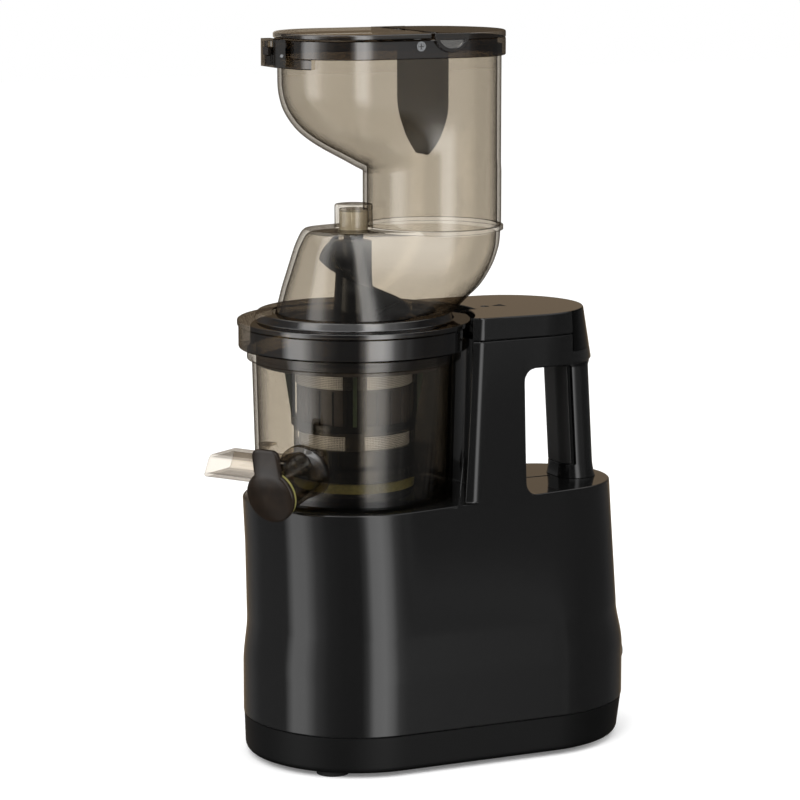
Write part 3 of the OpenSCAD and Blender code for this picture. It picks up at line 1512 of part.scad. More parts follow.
module feed_chute() {
  low = hop_deck_z;
  placed() color("#9c9386", 0.45) difference() {
    union() {
      translate([0, chute_y, 0]) {
        rod(chute_r + tube_step, low, funnel_low_z - low + clear_t);
        rod(chute_r + joint_out, low, joint_h);
      }
      loft([for (s = funnel_z_shares) mix(funnel_low_z, funnel_top_z, s)], funnel_outlines(0));
    }
    translate([0, chute_y, 0])
      rod(chute_r - clear_t - tube_step, low - over, funnel_low_z - low + 2 * clear_t);
    rod(boss_r + hop_rim_gap, low - over, boss_h + 2 * over);
    loft([for (s = funnel_z_shares) mix(funnel_low_z + clear_t, funnel_top_z + over, s)],
      funnel_outlines(clear_t));
  }
}

module auger_bush() {
  placed() color("#d9d6cc")
    ring(journal_r + run_gap, journal_r + run_gap + bush_t, hop_deck_z - clear_t, boss_h - clear_t * 0.8);
}

module rim_line(r, z, h) {
  translate([0, 0, z]) linear_extrude(height = h)
    polygon(oval(mouth_r + r, mouth_y, chute_r + r, chute_y));
}

rim_out = hop_rim_gap + hop_rim_t;
lid_top_z = hop_rim_top_z + lid_t;
screw_z = hop_rim_top_z - 1.2 * screw_head_r;
screw_y = (mouth_y + chute_y) / 2;

module rim_screw_spots() {
  both_sides() translate([chute_r + rim_out, screw_y, screw_z]) rotate([0, -90, 0]) children();
}

module rim_ring() {
  keeper_z = hop_rim_z - keeper_h;
  placed() color("#1a1816", 0.9) difference() {
    rim_line(rim_out, keeper_z, hop_rim_top_z - keeper_z);
    wide(skirt_r, [mouth_y - 0.83 * mouth_r, keeper_z - over], [chute_y + skirt_r, hop_rim_z]);
    rim_line(hop_rim_gap, keeper_z - over, funnel_top_z + hop_rim_gap - keeper_z + over);
    rim_line(-clear_t, keeper_z - over, 2 * (hop_rim_top_z - keeper_z));
    span([-latch_lever_half - seat_gap, mouth_y - mouth_r - 2 * rim_out, hop_rim_z - 0.7 * keeper_h],
      [latch_lever_half + seat_gap, mouth_y, hop_rim_z - 0.1 * keeper_h]);
    rim_screw_spots() {
      rod(screw_head_r + head_gap, -over, screw_head_h + 0.75 * over);
      cylinder(r = screw_r, h = clear_t + rim_out - over / 2);
    }
  }
}

module rim_screws() {
  placed() color("#c9ccd0") rim_screw_spots() difference() {
    union() {
      rod(screw_head_r, -over / 4, screw_head_h);
      rod(screw_r, screw_head_h - over / 4, clear_t + rim_out - over / 2 - screw_head_h);
    }
    for (q = [0, 90])
      rotate([0, 0, q])
        wide(screw_head_r * 0.6, -[screw_head_h * 0.15, over], screw_head_h * [0.15, 0.4]);
  }
}

module ear_side() {
  translate([chute_r + rim_out + head_gap, ear_y, lid_top_z]) rotate([0, 90, 0]) children();
}

// half disc hanging down, r wide, from a given depth under its centre
module half_disc(r, low, h) {
  intersection() {
    cylinder(r = r, h = h);
    span([low, -r - over, 0], [r + over, r + over, h]);
  }
}

module rear_cover() {
  z0 = hop_rim_top_z;
  xb = flap_half_w + 2 * seat_gap;
  placed() color("#1a1816", 0.9) difference() {
    union() {
      intersection() {
        rim_line(rim_out, z0, lid_top_z - z0);
        wide(skirt_r, [cover_y, z0], [chute_y + skirt_r, lid_top_z]);
      }
      both_sides() {
        ear_side() difference() {
          half_disc(ear_r, 0, ear_t);
          translate([0, 0, -over]) half_disc(ear_r - ear_frame, lid_top_z - z0, ear_t + 2 * over);
        }
        span([chute_r, cover_y, z0 + lid_gap],
          [chute_r + rim_out + ear_t / 2, ear_y + ear_r * 0.8, lid_top_z - lid_gap]);
        cross_knuckle(knuckle_half + 2 * lid_gap, flap_half_w - ear_t, lid_pin_y, lid_pin_z, knuckle_r);
        span([knuckle_half + 2 * lid_gap, lid_pin_y, lid_pin_z - 0.3 * knuckle_r],
          [flap_half_w - ear_t, cover_y + over, lid_top_z - over / 4]);
        span([xb, flap_pin_y - 2 * flap_pin_r, flap_pin_z - 2 * flap_pin_r],
          [xb + ear_t, flap_pin_y + 2 * flap_pin_r, z0 + over / 2]);
      }
    }
    cross_bar(lid_pin_r, lid_pin_y, lid_pin_z, flap_half_w);
    cross_bar(flap_pin_r, flap_pin_y, flap_pin_z, xb + ear_t + over);
    span([-flap_half_w - seat_gap, flap_pin_y - 3 * flap_pin_r, z0 - over],
      [flap_half_w + seat_gap, flap_pin_y + 3 * flap_pin_r, z0 + over]);
  }
}

module cross_knuckle(x0, x1, y, z, r) {
  translate([x0, y, z]) rotate([0, 90, 0]) cylinder(r = r, h = x1 - x0);
}

module ear_windows() {
  placed() color("#cfcabd", 0.6) both_sides() ear_side()
    half_disc(ear_r - ear_frame, lid_top_z - hop_rim_top_z, ear_t / 2);
}

module lock_magnet() {
  placed() color("#a9abad") translate([0, collar_r + tab_out / 2, 0])
    rod(magnet_r, collar_top_z - magnet_h, magnet_h);
}

module lid_pin() {
  placed() color("#b9bcc0") cross_bar(lid_pin_r, lid_pin_y, lid_pin_z, flap_half_w - ear_t);
}

module flap_pin() {
  placed() color("#b9bcc0")
    cross_bar(flap_pin_r, flap_pin_y, flap_pin_z, flap_half_w + seat_gap * 2 + ear_t);
}

module feed_lid() {
  z0 = hop_rim_top_z + lid_gap;
  placed() color("#1a1816", 0.9) difference() {
    union() {
      intersection() {
        rim_line(rim_out, z0, lid_top_z - z0);
        wide(skirt_r, [mouth_y - skirt_r, z0], [lid_rear_y, lid_top_z]);
      }
      cross_knuckle(-knuckle_half, knuckle_half, lid_pin_y, lid_pin_z, knuckle_r);
      wide(knuckle_half, [lid_rear_y - over, lid_pin_z], [lid_pin_y, lid_pin_z + knuckle_r]);
    }
    cross_bar(lid_pin_r + run_gap, lid_pin_y, lid_pin_z, flap_half_w);
    intersection() {
      rim_line(-clear_t, z0 - over, (lid_top_z - z0) / 2 + over);
      wide(skirt_r, [mouth_y - skirt_r, z0 - over], [lid_rear_y - clear_t, lid_top_z]);
    }
  }
}

latch_back_y = mouth_y - mouth_r - rim_out - lid_gap;
latch_top_z = hop_rim_top_z + lid_gap;
lever_mid_y = latch_back_y - lid_gap - latch_t * 1.2;

module latch_housing() {
  placed() color("#151413", 0.95) difference() {
    wide(latch_half_w, [latch_front_y, latch_low_z], [latch_back_y, latch_top_z]);
    span([-latch_half_w + latch_t, latch_front_y + latch_t, latch_low_z - over],
      [latch_half_w - latch_t, latch_back_y + over, latch_top_z - latch_t]);
    span([-button_half_w - lid_gap, latch_front_y - over, latch_pin_z - lid_gap],
      [button_half_w + lid_gap, latch_front_y + 2 * latch_t, latch_pin_z + 1.4 * button_h]);
    cross_bar(latch_pin_r, lever_mid_y, latch_pin_z, latch_half_w + over);
    for (sx = [-1, 1])
      for (i = [0:2])
        translate([sx * (latch_half_w - latch_t * (1.4 + 1.8 * i)), latch_front_y, 0])
          wide(latch_t * 0.3, [-over, latch_low_z + latch_t], [latch_t * 0.4, latch_top_z - latch_t]);
  }
}

module latch_pin() {
  placed() color("#b9bcc0") cross_bar(latch_pin_r, lever_mid_y, latch_pin_z, latch_half_w);
}

module latch_lever() {
  t = latch_t * 0.6;
  hook_z = hop_rim_z - keeper_h * 0.4;
  placed() color("#151413") difference() {
    union() {
      wide(latch_lever_half, [lever_mid_y - t, latch_low_z + latch_t / 2],
        [lever_mid_y + t, latch_pin_z + button_h * 0.66]);
      cross_bar(1.7 * latch_pin_r, lever_mid_y, latch_pin_z, latch_lever_half);
      wide(button_half_w, [latch_front_y - button_out, latch_pin_z + lid_gap / 2],
        [lever_mid_y, latch_pin_z + button_h * 0.8]);
      wide(latch_lever_half, [lever_mid_y, hook_z - t], [latch_back_y + lid_gap / 2, hook_z + t]);
    }
    cross_bar(latch_pin_r + run_gap, lever_mid_y, latch_pin_z, latch_half_w);
  }
}

module feed_flap() {
  n = len(flap_z_shares);
  zs = [for (s = flap_z_shares) -2 * flap_pin_r - s * (flap_l - 2 * flap_pin_r)];
  ws = [for (s = flap_w_shares) s * flap_half_w];
  placed() color("#4a4a49", 0.8) translate([0, flap_pin_y, flap_pin_z]) difference() {
    union() {
      translate([0, flap_t / 2, 0]) rotate([90, 0, 0]) linear_extrude(height = flap_t)
        polygon(concat(
          [[-flap_half_w, 0]],
          [for (i = [0:n - 1]) [-ws[i], zs[i]]],
          [for (i = [0:n - 1]) [ws[n - 1 - i], zs[n - 1 - i]]],
          [[flap_half_w, 0]]));
      cross_bar(2 * flap_pin_r, 0, 0, flap_half_w);
    }
    cross_bar(flap_pin_r + run_gap, 0, 0, flap_half_w + over);
  }
}

base_tray();
rubber_feet();
tray_screws();
housing_shell();
tower_cap();
gloss_band();
handle_grip();
grip_insert();
deck_seal();
motor_can();
stator();
motor_bearings();
gearbox_case();
gearbox_lid();
ring_gear();
output_bearing();
motor_bracket();
control_board();
reed_sensor();
switch_body();
cord_gland();
rotor();
cooling_fan();
planet_carrier();
planet_gear_a();
planet_gear_b();
planet_gear_c();
power_rocker();
juice_bowl();
pulp_outlet();
pedestal_seal();
idler_post();
strainer_frame();
strainer_mesh();
idler_gear();
juice_cap();
cap_gasket();
cap_pin();
auger();
auger_gear();
auger_socket();
brush_cage();
wiper_blades();
hopper_base();
feed_chute();
auger_bush();
rim_ring();
rear_cover();
ear_windows();
rim_screws();
lock_magnet();
lid_pin();
flap_pin();
feed_lid();
latch_housing();
latch_pin();
latch_lever();
feed_flap();
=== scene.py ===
"""Looks of an upright cold press juicer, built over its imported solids.

Sizes in the sections are millimetres about the auger axis, front at -Y; settle() turns them
into metres in the shared frame.
"""

import math

import bmesh
import bpy
from mathutils import Matrix, Vector


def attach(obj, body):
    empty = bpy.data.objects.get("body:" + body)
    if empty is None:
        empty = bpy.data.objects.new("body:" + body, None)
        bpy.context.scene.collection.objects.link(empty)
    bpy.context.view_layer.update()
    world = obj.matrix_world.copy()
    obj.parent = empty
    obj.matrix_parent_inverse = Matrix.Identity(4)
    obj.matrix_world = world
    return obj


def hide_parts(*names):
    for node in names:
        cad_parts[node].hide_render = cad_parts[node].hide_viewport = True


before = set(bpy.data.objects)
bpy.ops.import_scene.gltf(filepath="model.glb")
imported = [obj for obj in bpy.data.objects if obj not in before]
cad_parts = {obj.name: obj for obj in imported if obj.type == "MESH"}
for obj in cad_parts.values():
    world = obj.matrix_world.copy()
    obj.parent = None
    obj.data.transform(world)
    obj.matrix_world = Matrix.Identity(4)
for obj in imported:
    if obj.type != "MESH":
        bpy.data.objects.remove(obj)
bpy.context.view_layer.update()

# Camera: a long lens, level with the hopper, turned 65 degrees from the front of the machine.
# It looks down by about ten degrees, as the photograph does.
auger_x = 12
auger_y = -47.9
eye = Vector((1.7051, -0.7939, 0.5385))
looked_at = Vector((0.0238, -0.0223, 0.2202))
camera = bpy.data.objects.new("camera", bpy.data.cameras.new("camera"))
camera.data.lens = 137.8
camera.data.sensor_width = 36
camera.data.clip_end = 20
camera.location = eye
camera.rotation_euler = (looked_at - eye).to_track_quat("-Z", "Y").to_euler()
bpy.context.collection.objects.link(camera)
bpy.context.scene.camera = camera
bpy.context.scene.view_settings.view_transform = "Standard"


# Studio: a white room. What shines sees a dimmer room with two tall softboxes in front,
# a warm wall behind and a bank of light overhead, drawn by direction in the sky of the scene.
def linear(code):
    """A colour given as sRGB hex, in the linear values that a shader takes."""
    parts = [int(code[i : i + 2], 16) / 255 for i in (1, 3, 5)]
    return (
        *(c / 12.92 if c <= 0.04045 else ((c + 0.055) / 1.055) ** 2.4 for c in parts),
        1.0,
    )


def add(tree, kind, settings=None, links=None):
    """A shader node with its settings, which go to its sockets or its own fields, and its links."""
    node = tree.nodes.new("ShaderNode" + kind)
    for name, value in (settings or {}).items():
        if isinstance(name, int) or name in node.inputs:
            node.inputs[name].default_value = value
        else:
            setattr(node, name, value)
    for name, source in (links or {}).items():
        tree.links.new(source, node.inputs[name])
    return node


def set_stops(ramp, stops):
    for i, (at, colour) in enumerate(stops):
        stop = ramp.elements[i] if i < 2 else ramp.elements.new(at)
        stop.position = at
        stop.color = colour


# share of the way round from the camera, and brightness there; the right of the camera comes first
softbox_stops = [
    (0.0, 0.08),
    (0.013, 0.08),
    (0.03, 0.5),
    (0.047, 2.2),
    (0.078, 2.5),
    (0.1, 1.7),
    (0.116, 0.6),
    (0.13, 0.34),
    (0.145, 0.2),
    (0.158, 0.24),
    (0.175, 0.12),
    (0.21, 0.07),
    (0.33, 0.08),
    (0.42, 0.16),
    (0.445, 0.3),
    (0.47, 0.42),
    (0.53, 0.42),
    (0.58, 0.28),
    (0.68, 0.13),
    (0.785, 0.2),
    (0.812, 1.8),
    (0.85, 1.8),
    (0.885, 0.5),
    (0.92, 0.16),
    (0.96, 0.08),
]
warm_wall = "#d9bfa0"
camera_turn = 23.8
studio_strength = 3
sky = bpy.data.worlds.new("studio")
bpy.context.scene.world = sky
sky.use_nodes = True
tree = sky.node_tree
tree.nodes.clear()
way = add(tree, "TexCoord")
turned_way = add(
    tree,
    "Mapping",
    {"vector_type": "POINT", "Rotation": (0, 0, math.radians(camera_turn + 180))},
    {"Vector": way.outputs["Generated"]},
)
apart = add(tree, "SeparateXYZ", links={"Vector": turned_way.outputs["Vector"]})
bearing = add(tree, "Math", {"operation": "ARCTAN2"}, {0: apart.outputs["Y"], 1: apart.outputs["X"]})
share = add(
    tree,
    "MapRange",
    {"From Min": -math.pi, "From Max": math.pi},
    {"Value": bearing.outputs[0]},
)
boxes = add(tree, "ValToRGB", links={"Fac": share.outputs["Result"]})
set_stops(boxes.color_ramp, [(at, (*[v / studio_strength] * 3, 1)) for at, v in softbox_stops])
walls = add(tree, "ValToRGB", links={"Fac": share.outputs["Result"]})
set_stops(
    walls.color_ramp,
    [(0.36, (1, 1, 1, 1)), (0.44, linear(warm_wall)), (0.56, linear(warm_wall)), (0.64, (1, 1, 1, 1))],
)
seen = add(
    tree,
    "Mix",
    {"data_type": "RGBA", "blend_type": "MULTIPLY", 0: 1.0},
    {6: boxes.outputs["Color"], 7: walls.outputs["Color"]},
)
# the softboxes end above the table: what looks down sees little of them
above_table = add(
    tree,
    "MapRange",
    {"From Min": -0.46, "From Max": -0.28, "To Min": 0.12, "To Max": 1.0},
    {"Value": apart.outputs["Z"]},
)
lit = add(
    tree,
    "Mix",
    {"data_type": "RGBA", "blend_type": "MULTIPLY", 0: 1.0},
    {6: seen.outputs[2], 7: above_table.outputs["Result"]},
)
overhead = add(tree, "ValToRGB", links={"Fac": apart.outputs["Z"]})
set_stops(overhead.color_ramp, [(0.5, (0, 0, 0, 1)), (0.8, (0.25, 0.25, 0.25, 1))])
both = add(
    tree,
    "Mix",
    {"data_type": "RGBA", "blend_type": "ADD", 0: 1.0},
    {6: lit.outputs[2], 7: overhead.outputs["Color"]},
)
shine = add(tree, "Background", {"Strength": studio_strength}, {"Color": both.outputs[2]})
white = add(tree, "Background", {"Color": (1, 1, 1, 1), "Strength": 1.0})
ray = add(tree, "LightPath")
choice = add(
    tree,
    "MixShader",
    links={0: ray.outputs["Is Glossy Ray"], 1: white.outputs[0], 2: shine.outputs[0]},
)
add(tree, "OutputWorld", links={"Surface": choice.outputs[0]})

floor_mesh = bpy.data.meshes.new("floor")
shape = bmesh.new()
bmesh.ops.create_grid(shape, x_segments=8, y_segments=8, size=6)
shape.to_mesh(floor_mesh)
shape.free()
floor = bpy.data.objects.new("floor", floor_mesh)
floor.visible_glossy = False
bpy.context.collection.objects.link(floor)
paper = bpy.data.materials.new("white paper sweep")
paper.use_nodes = True
# overexposed in the photograph: a little light of its own takes the paper past white
for name, value in (
    ("Base Color", (0.9, 0.9, 0.9, 1)),
    ("Roughness", 0.9),
    ("Specular IOR Level", 0.0),
    ("Emission Color", (1, 1, 1, 1)),
    ("Emission Strength", 0.14),
):
    paper.node_tree.nodes["Principled BSDF"].inputs[name].default_value = value
floor_mesh.materials.append(paper)

for name, place, size, power in (
    ("key light", (1.1, -1.6, 1.7), 1.4, 26),
    ("fill light", (1.6, 1.4, 1.2), 1.2, 12),
    ("top light", (0, 0, 2.2), 1.6, 12),
):
    lamp = bpy.data.lights.new(name, "AREA")
    lamp.size = size
    lamp.energy = power
    lamp_object = bpy.data.objects.new(name, lamp)
    lamp_object.location = place
    aim = Vector((0, 0, 0.2)) - Vector(place)
    lamp_object.rotation_euler = aim.to_track_quat("-Z", "Y").to_euler()
    lamp_object.visible_camera = False
    lamp_object.visible_glossy = False
    bpy.context.collection.objects.link(lamp_object)


# Base tray: the satin black floor of the machine, moulded in ABS with a fine spark-eroded
# grain, round at its lower edge. It is screwed up into the housing through five bosses.
def mix(a, b, t):
    return a + (b - a) * t


def outline(front_r, front_y, rear_r, rear_y, count=128):
    """Two rounds joined by their tangents, as evenly spaced points from the rear middle round."""
    gap = rear_y - front_y
    lean = math.asin(max(-1, min(1, (front_r - rear_r) / gap)))
    dense = []
    for i in range(241):
        a = mix(math.pi / 2, math.pi - lean, i / 240)
        dense.append((rear_r * math.cos(a), rear_y + rear_r * math.sin(a)))
    for i in range(241):
        a = mix(math.pi - lean, 1.5 * math.pi, i / 240)
        dense.append((front_r * math.cos(a), front_y + front_r * math.sin(a)))
    lengths = [0.0]
    for p, q in zip(dense, dense[1:]):
        lengths.append(lengths[-1] + math.dist(p, q))
    half = []
    j = 0
    for i in range(count // 2 + 1):
        aim = lengths[-1] * i / (count // 2)
        while j < len(lengths) - 2 and lengths[j + 1] < aim:
            j += 1
        t = (aim - lengths[j]) / max(1e-9, lengths[j + 1] - lengths[j])
        half.append((mix(dense[j][0], dense[j + 1][0], t), mix(dense[j][1], dense[j + 1][1], t)))
    return half + [(-x, y) for x, y in reversed(half[1:-1])]


def stack(shape, rows, closed=False):
    """A skin through rows of (outline, height); it ends in flat faces, or meets itself."""
    count = len(rows[0][0])
    made = bmesh.ops.create_circle(shape, segments=count, radius=1, cap_ends=False)["verts"]
    made.sort(key=lambda v: math.atan2(v.co.y, v.co.x) % (2 * math.pi))
    for v, (x, y) in zip(made, rows[0][0]):
        v.co = (x, y, rows[0][1])
    first = ring = made
    for points, z in rows[1:]:
        edges = [shape.edges.get((ring[i], ring[(i + 1) % count])) for i in range(count)]
        grown = bmesh.ops.extrude_edge_only(shape, edges=edges)["geom"]
        grown = {v for v in grown if isinstance(v, bmesh.types.BMVert)}
        above = []
        for v in ring:
            above.append(next(e.other_vert(v) for e in v.link_edges if e.other_vert(v) in grown))
        for v, (x, y) in zip(above, points):
            v.co = (x, y, z)
        ring = above
    if closed:
        both = [(r[i], r[(i + 1) % count]) for r in (first, ring) for i in range(count)]
        bmesh.ops.bridge_loops(shape, edges=[shape.edges.get(pair) for pair in both])
    else:
        shape.faces.new(first)
        shape.faces.new(ring)
    bmesh.ops.recalc_face_normals(shape, faces=shape.faces)
    return shape


def settle(name, shape, finish, sharp=32):
    """Puts a finished mesh into the shared frame in metres, with its edges sharp past an angle."""
    if isinstance(shape, bpy.types.Object):
        piece = shape
        shape = bmesh.new()
        shape.from_mesh(piece.data)
    else:
        piece = None
    bmesh.ops.remove_doubles(shape, verts=shape.verts, dist=0.0005)
    bmesh.ops.recalc_face_normals(shape, faces=shape.faces)
    bmesh.ops.translate(shape, verts=shape.verts, vec=(auger_x, auger_y, 0))
    bmesh.ops.scale(shape, verts=shape.verts, vec=(0.001, 0.001, 0.001))
    for face in shape.faces:
        face.smooth = True
    for edge in shape.edges:
        edge.smooth = not edge.is_manifold or edge.calc_face_angle() < math.radians(sharp)
    mesh = bpy.data.meshes.new(name)
    shape.to_mesh(mesh)
    shape.free()
    mesh.materials.append(finish)
    if piece is None:
        piece = bpy.data.objects.new(name, mesh)
        bpy.context.collection.objects.link(piece)
    else:
        piece.data = mesh
        piece.name = name
    return piece


def block(shape, low, high):
    """A box between two corners."""
    made = bmesh.ops.create_cube(shape, size=1)["verts"]
    for v in made:
        v.co = [mix(low[i], high[i], v.co[i] + 0.5) for i in range(3)]
    return made


def rod(shape, radius, depth, centre, along="Z", segments=48):
    """A cylinder about its centre, along one of the axes."""
    place = Matrix.Translation(centre)
    if along != "Z":
        place = place @ Matrix.Rotation(math.pi / 2, 4, "Y" if along == "X" else "X")
    bmesh.ops.create_cone(
        shape, cap_ends=True, segments=segments, radius1=radius, radius2=radius, depth=depth, matrix=place
    )
    return shape


def slab(shape, points, depth):
    """A flat outline drawn out along a vector."""
    face = shape.faces.new([shape.verts.new(point) for point in points])
    grown = bmesh.ops.extrude_face_region(shape, geom=[face])["geom"]
    moved = [v for v in grown if isinstance(v, bmesh.types.BMVert)]
    bmesh.ops.translate(shape, verts=moved, vec=depth)
    return shape


def sector(inner_r, outer_r, angles, z, height):
    """A slice of a ring between the first and the last of its angles, as a loose object."""
    around = [math.radians(a) for a in angles]
    points = [(outer_r * math.cos(a), outer_r * math.sin(a), z) for a in around]
    points += [(inner_r * math.cos(a), inner_r * math.sin(a), z) for a in reversed(around)]
    return solid(slab(bmesh.new(), points, (0, 0, height)))


def box(low, high):
    """A box as a loose object."""
    shape = bmesh.new()
    block(shape, low, high)
    return solid(shape)


def lofted(rows):
    """A skin through rows, as a loose object."""
    return solid(stack(bmesh.new(), rows))


def soft_corners(shape, edges, width, segments):
    """Rounds chosen edges of a bmesh."""
    bmesh.ops.bevel(
        shape, geom=edges, offset=width, segments=segments, profile=0.5, affect="EDGES", material=-1
    )


def solid(shape):
    """A bmesh as a loose object, for cutting."""
    mesh = bpy.data.meshes.new("cutter")
    bmesh.ops.recalc_face_normals(shape, faces=shape.faces)
    shape.to_mesh(mesh)
    shape.free()
    thing = bpy.data.objects.new("cutter", mesh)
    bpy.context.collection.objects.link(thing)
    return thing


def carve(thing, cutters, join=()):
    """Cuts solids out of a solid, and joins others to it first."""
    for operation, group in (("UNION", join), ("DIFFERENCE", cutters)):
        for other in group:
            step = thing.modifiers.new("cut", "BOOLEAN")
            step.object = other
            step.operation = operation
            step.solver = "EXACT"
    bpy.context.view_layer.update()
    graph = bpy.context.evaluated_depsgraph_get()
    mesh = bpy.data.meshes.new_from_object(thing.evaluated_get(graph))
    thing.modifiers.clear()
    thing.data = mesh
    for other in (*cutters, *join):
        bpy.data.objects.remove(other)
    return thing


def round_edges(piece, width, angle=35, segments=3):
    """Moulded corners: a small round on every edge sharper than an angle, with even shading."""
    step = piece.modifiers.new("moulded edges", "BEVEL")
    step.width = width * 0.001
    step.segments = segments
    step.limit_method = "ANGLE"
    step.angle_limit = math.radians(angle)
    step.use_clamp_overlap = False
    step.miter_outer = "MITER_ARC"
    even = piece.modifiers.new("even shading", "WEIGHTED_NORMAL")
    even.keep_sharp = True
    even.weight = 60
    return piece


def new_finish(name):
    finish = bpy.data.materials.new(name)
    finish.use_nodes = True
    finish.node_tree.nodes.clear()
    return finish, finish.node_tree


def grain(tree, scale, detail):
    """Noise fixed to the piece, by its own coordinates in metres."""
    where = add(tree, "TexCoord")
    return add(tree, "TexNoise", {"Scale": scale, "Detail": detail}, {"Vector": where.outputs["Object"]})


def spread(tree, source, low, high):
    """A value of a texture spread between two limits."""
    return add(tree, "MapRange", {"To Min": low, "To Max": high}, {"Value": source.outputs["Fac"]})


def surface(tree, settings, links):
    """An opaque surface, and the output of its finish."""
    body = add(tree, "BsdfPrincipled", settings, links)
    add(tree, "OutputMaterial", links={"Surface": body.outputs[0]})


satin_abs, tree = new_finish("satin black ABS, spark-eroded mould")
# the mould's grain is 0.05 mm; drawn at 0.5 mm so that it breaks the highlight here
sparks = grain(tree, 2000.0, 3.0)
dents = add(tree, "Bump", {"Strength": 0.12, "Distance": 0.0001}, {"Height": sparks.outputs["Fac"]})
rub = spread(tree, grain(tree, 25.0, 2.0), 0.42, 0.52)
surface(
    tree,
    {"Base Color": linear("#070707"), "IOR": 1.36},
    {"Roughness": rub.outputs["Result"], "Normal": dents.outputs["Normal"]},
)

tray_rows = []
for i in range(9):
    a = math.pi / 2 * i / 8
    r = 67.5 + 2.5 * math.sin(a)
    tray_rows.append((outline(r, 2, r, 106), 3 + 3.6 * (1 - math.cos(a))))
for t in (0.1, 0.5, 1):
    r = mix(70, 70.6, t)
    tray_rows.append((outline(r, 2, r, mix(106, 108, t)), mix(6.6, 24.9, t)))
tray_rows += [(outline(70.2, 2, 70.2, 108), 25.3), (outline(69.2, 2, 69.2, 108), 25.4)]
hollow = lofted([(outline(64.5, 2, 64.5, 106), 6.2), (outline(67.6, 2, 67.6, 108), 26)])
foot_spots = ((-44, -34), (44, -34), (-35.2, 140), (35.2, 140))
recesses = [solid(rod(bmesh.new(), 10.15, 2.4, (x, y, 3.2))) for x, y in foot_spots]
vents = bmesh.new()
for i in range(-3, 4):
    block(vents, (10 * i - 1.6, 63.5, 2), (10 * i + 1.6, 83.8, 7.2))
tray = carve(lofted(tray_rows), [hollow, *recesses, solid(vents)])
tray = settle("tray", tray, satin_abs)
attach(tray, "base")
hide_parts("base_tray")

# Housing: one tall moulding in polished black ABS. The skirt, deck and tower are one shell; the
# tower is hollowed in front to hug the bowl, opened behind for a hand, and bevelled in front.
gloss_abs, tree = new_finish("polished black ABS")
# sink and flow of a thick moulding: a swell some 30 mm wide that bends long highlights a little
swell = grain(tree, 30.0, 0.0)
waves = add(tree, "Bump", {"Strength": 0.04, "Distance": 0.0006}, {"Height": swell.outputs["Fac"]})
# hairline wiping marks are 0.02 mm; drawn as 1 mm patches of slightly higher roughness
rub = spread(tree, grain(tree, 900.0, 2.0), 0.07, 0.11)
surface(
    tree,
    {"Base Color": linear("#0f0f0f"), "IOR": 1.54},
    {"Roughness": rub.outputs["Result"], "Normal": waves.outputs["Normal"]},
)
deck_z = 162
tower_h = 111
bowl_bay_r = 74


def tower_line(z, inset=0.0):
    """The tower's outline at a height: it narrows upwards and leans in behind."""
    t = (z - deck_z) / tower_h
    return outline(
        mix(68, 47, t) - inset, mix(0, 40, t), mix(45, 47, t) - inset, mix(127, 105, t)
    )


step_low = 57
step_high = 86


def skirt_rows(inset, low, high):
    """The whole housing from its foot to the tower's top, with the long soft step in its skirt."""
    rows = [(outline(71 - inset, 2, 71 - inset, 108), low)]
    for i in range(17):
        u = i / 16
        fall = u * u * (3 - 2 * u)
        out = mix(71, 68.6, fall)
        line = outline(out - inset, 2, out - inset, mix(108, 106, fall))
        rows.append((line, mix(step_low, step_high, u)))
    for z in (104, 133):
        t = (z - step_high) / (deck_z - step_high)
        front_r, rear_r = mix(68.6, 68, t) - inset, mix(68.6, 45, t) - inset
        rows.append((outline(front_r, mix(2, 0, t), rear_r, mix(106, 127, t)), z))
    return rows + [(tower_line(z, inset), z) for z in (160.6, 200, 236, high)]


def bay(radius, low=deck_z, high=280):
    """The round room for the bowl, as a cutter."""
    return solid(rod(bmesh.new(), radius, high - low, (0, 0, (high + low) / 2), segments=256))


hand_front = 93
hand_top = 240
hand_r = 8


def hand_hole(grow):
    """The opening behind the tower that a hand reaches through, as a cutter."""
    line = [(250, deck_z - grow), (250, hand_top + grow)]
    for start, z in ((90, hand_top + grow - hand_r), (180, deck_z - grow + hand_r)):
        for i in range(9):
            a = math.radians(start + 90 * i / 8)
            line.append((hand_front - grow + hand_r + hand_r * math.cos(a), z + hand_r * math.sin(a)))
    return solid(slab(bmesh.new(), [(-80, y, z) for y, z in line], (160, 0, 0)))


corner_r = 3


def corner_cut(side):
    """The flat that takes the sharp front corner off the tower, rounded where it meets the flank."""
    rows = []
    for p, corner, back, z in (
        (Vector((56.0, 48.4)), Vector((59.2, 54)), Vector((-0.178, 0.984)), deck_z),
        (Vector((43.7, 59.7)), Vector((47, 64.8)), Vector((0, 1)), 274),
    ):
        ahead = (p - corner).normalized()
        a = corner + corner_r * ahead
        b = corner + corner_r * back
        line = [p + corner_r * ahead]
        for i in range(13):
            t = i / 12
            line.append(a * (1 - t) ** 2 + corner * 2 * t * (1 - t) + b * t * t)
        line += [b + Vector((0.15, 1)), b + Vector((30, 5)), line[0] + Vector((30, -10))]
        rows.append(([(side * v.x, v.y) for v in line], z))
    shape = bmesh.new()
    rings = [[shape.verts.new((x, y, z)) for x, y in line] for line, z in rows]
    for ring in rings:
        shape.faces.new(ring)
    count = len(rings[0])
    for i in range(count):
        k = (i + 1) % count
        shape.faces.new((rings[0][i], rings[0][k], rings[1][k], rings[1][i]))
    return solid(shape)


band_low = 248
band_high = 272.3
band_front = 129.44
band_t = 1.4
band_gap = 0.15
wall_t = 3
rocker_port = ((-7, 105, 252), (7, 230, 269))


def band_ring(outset, grow, *more_cuts):
    """A thin ring round the rear of the tower, the gloss band or, grown a little, its seat."""
    outer = lofted([(tower_line(z, -outset), z) for z in (band_low - grow, band_high + grow)])
    inner = lofted([(tower_line(z, band_t + grow), z) for z in (240, 280)])
    front = box((-90, -90, 230), (90, band_front - grow, 290))
    return carve(outer, [front, inner, *more_cuts])


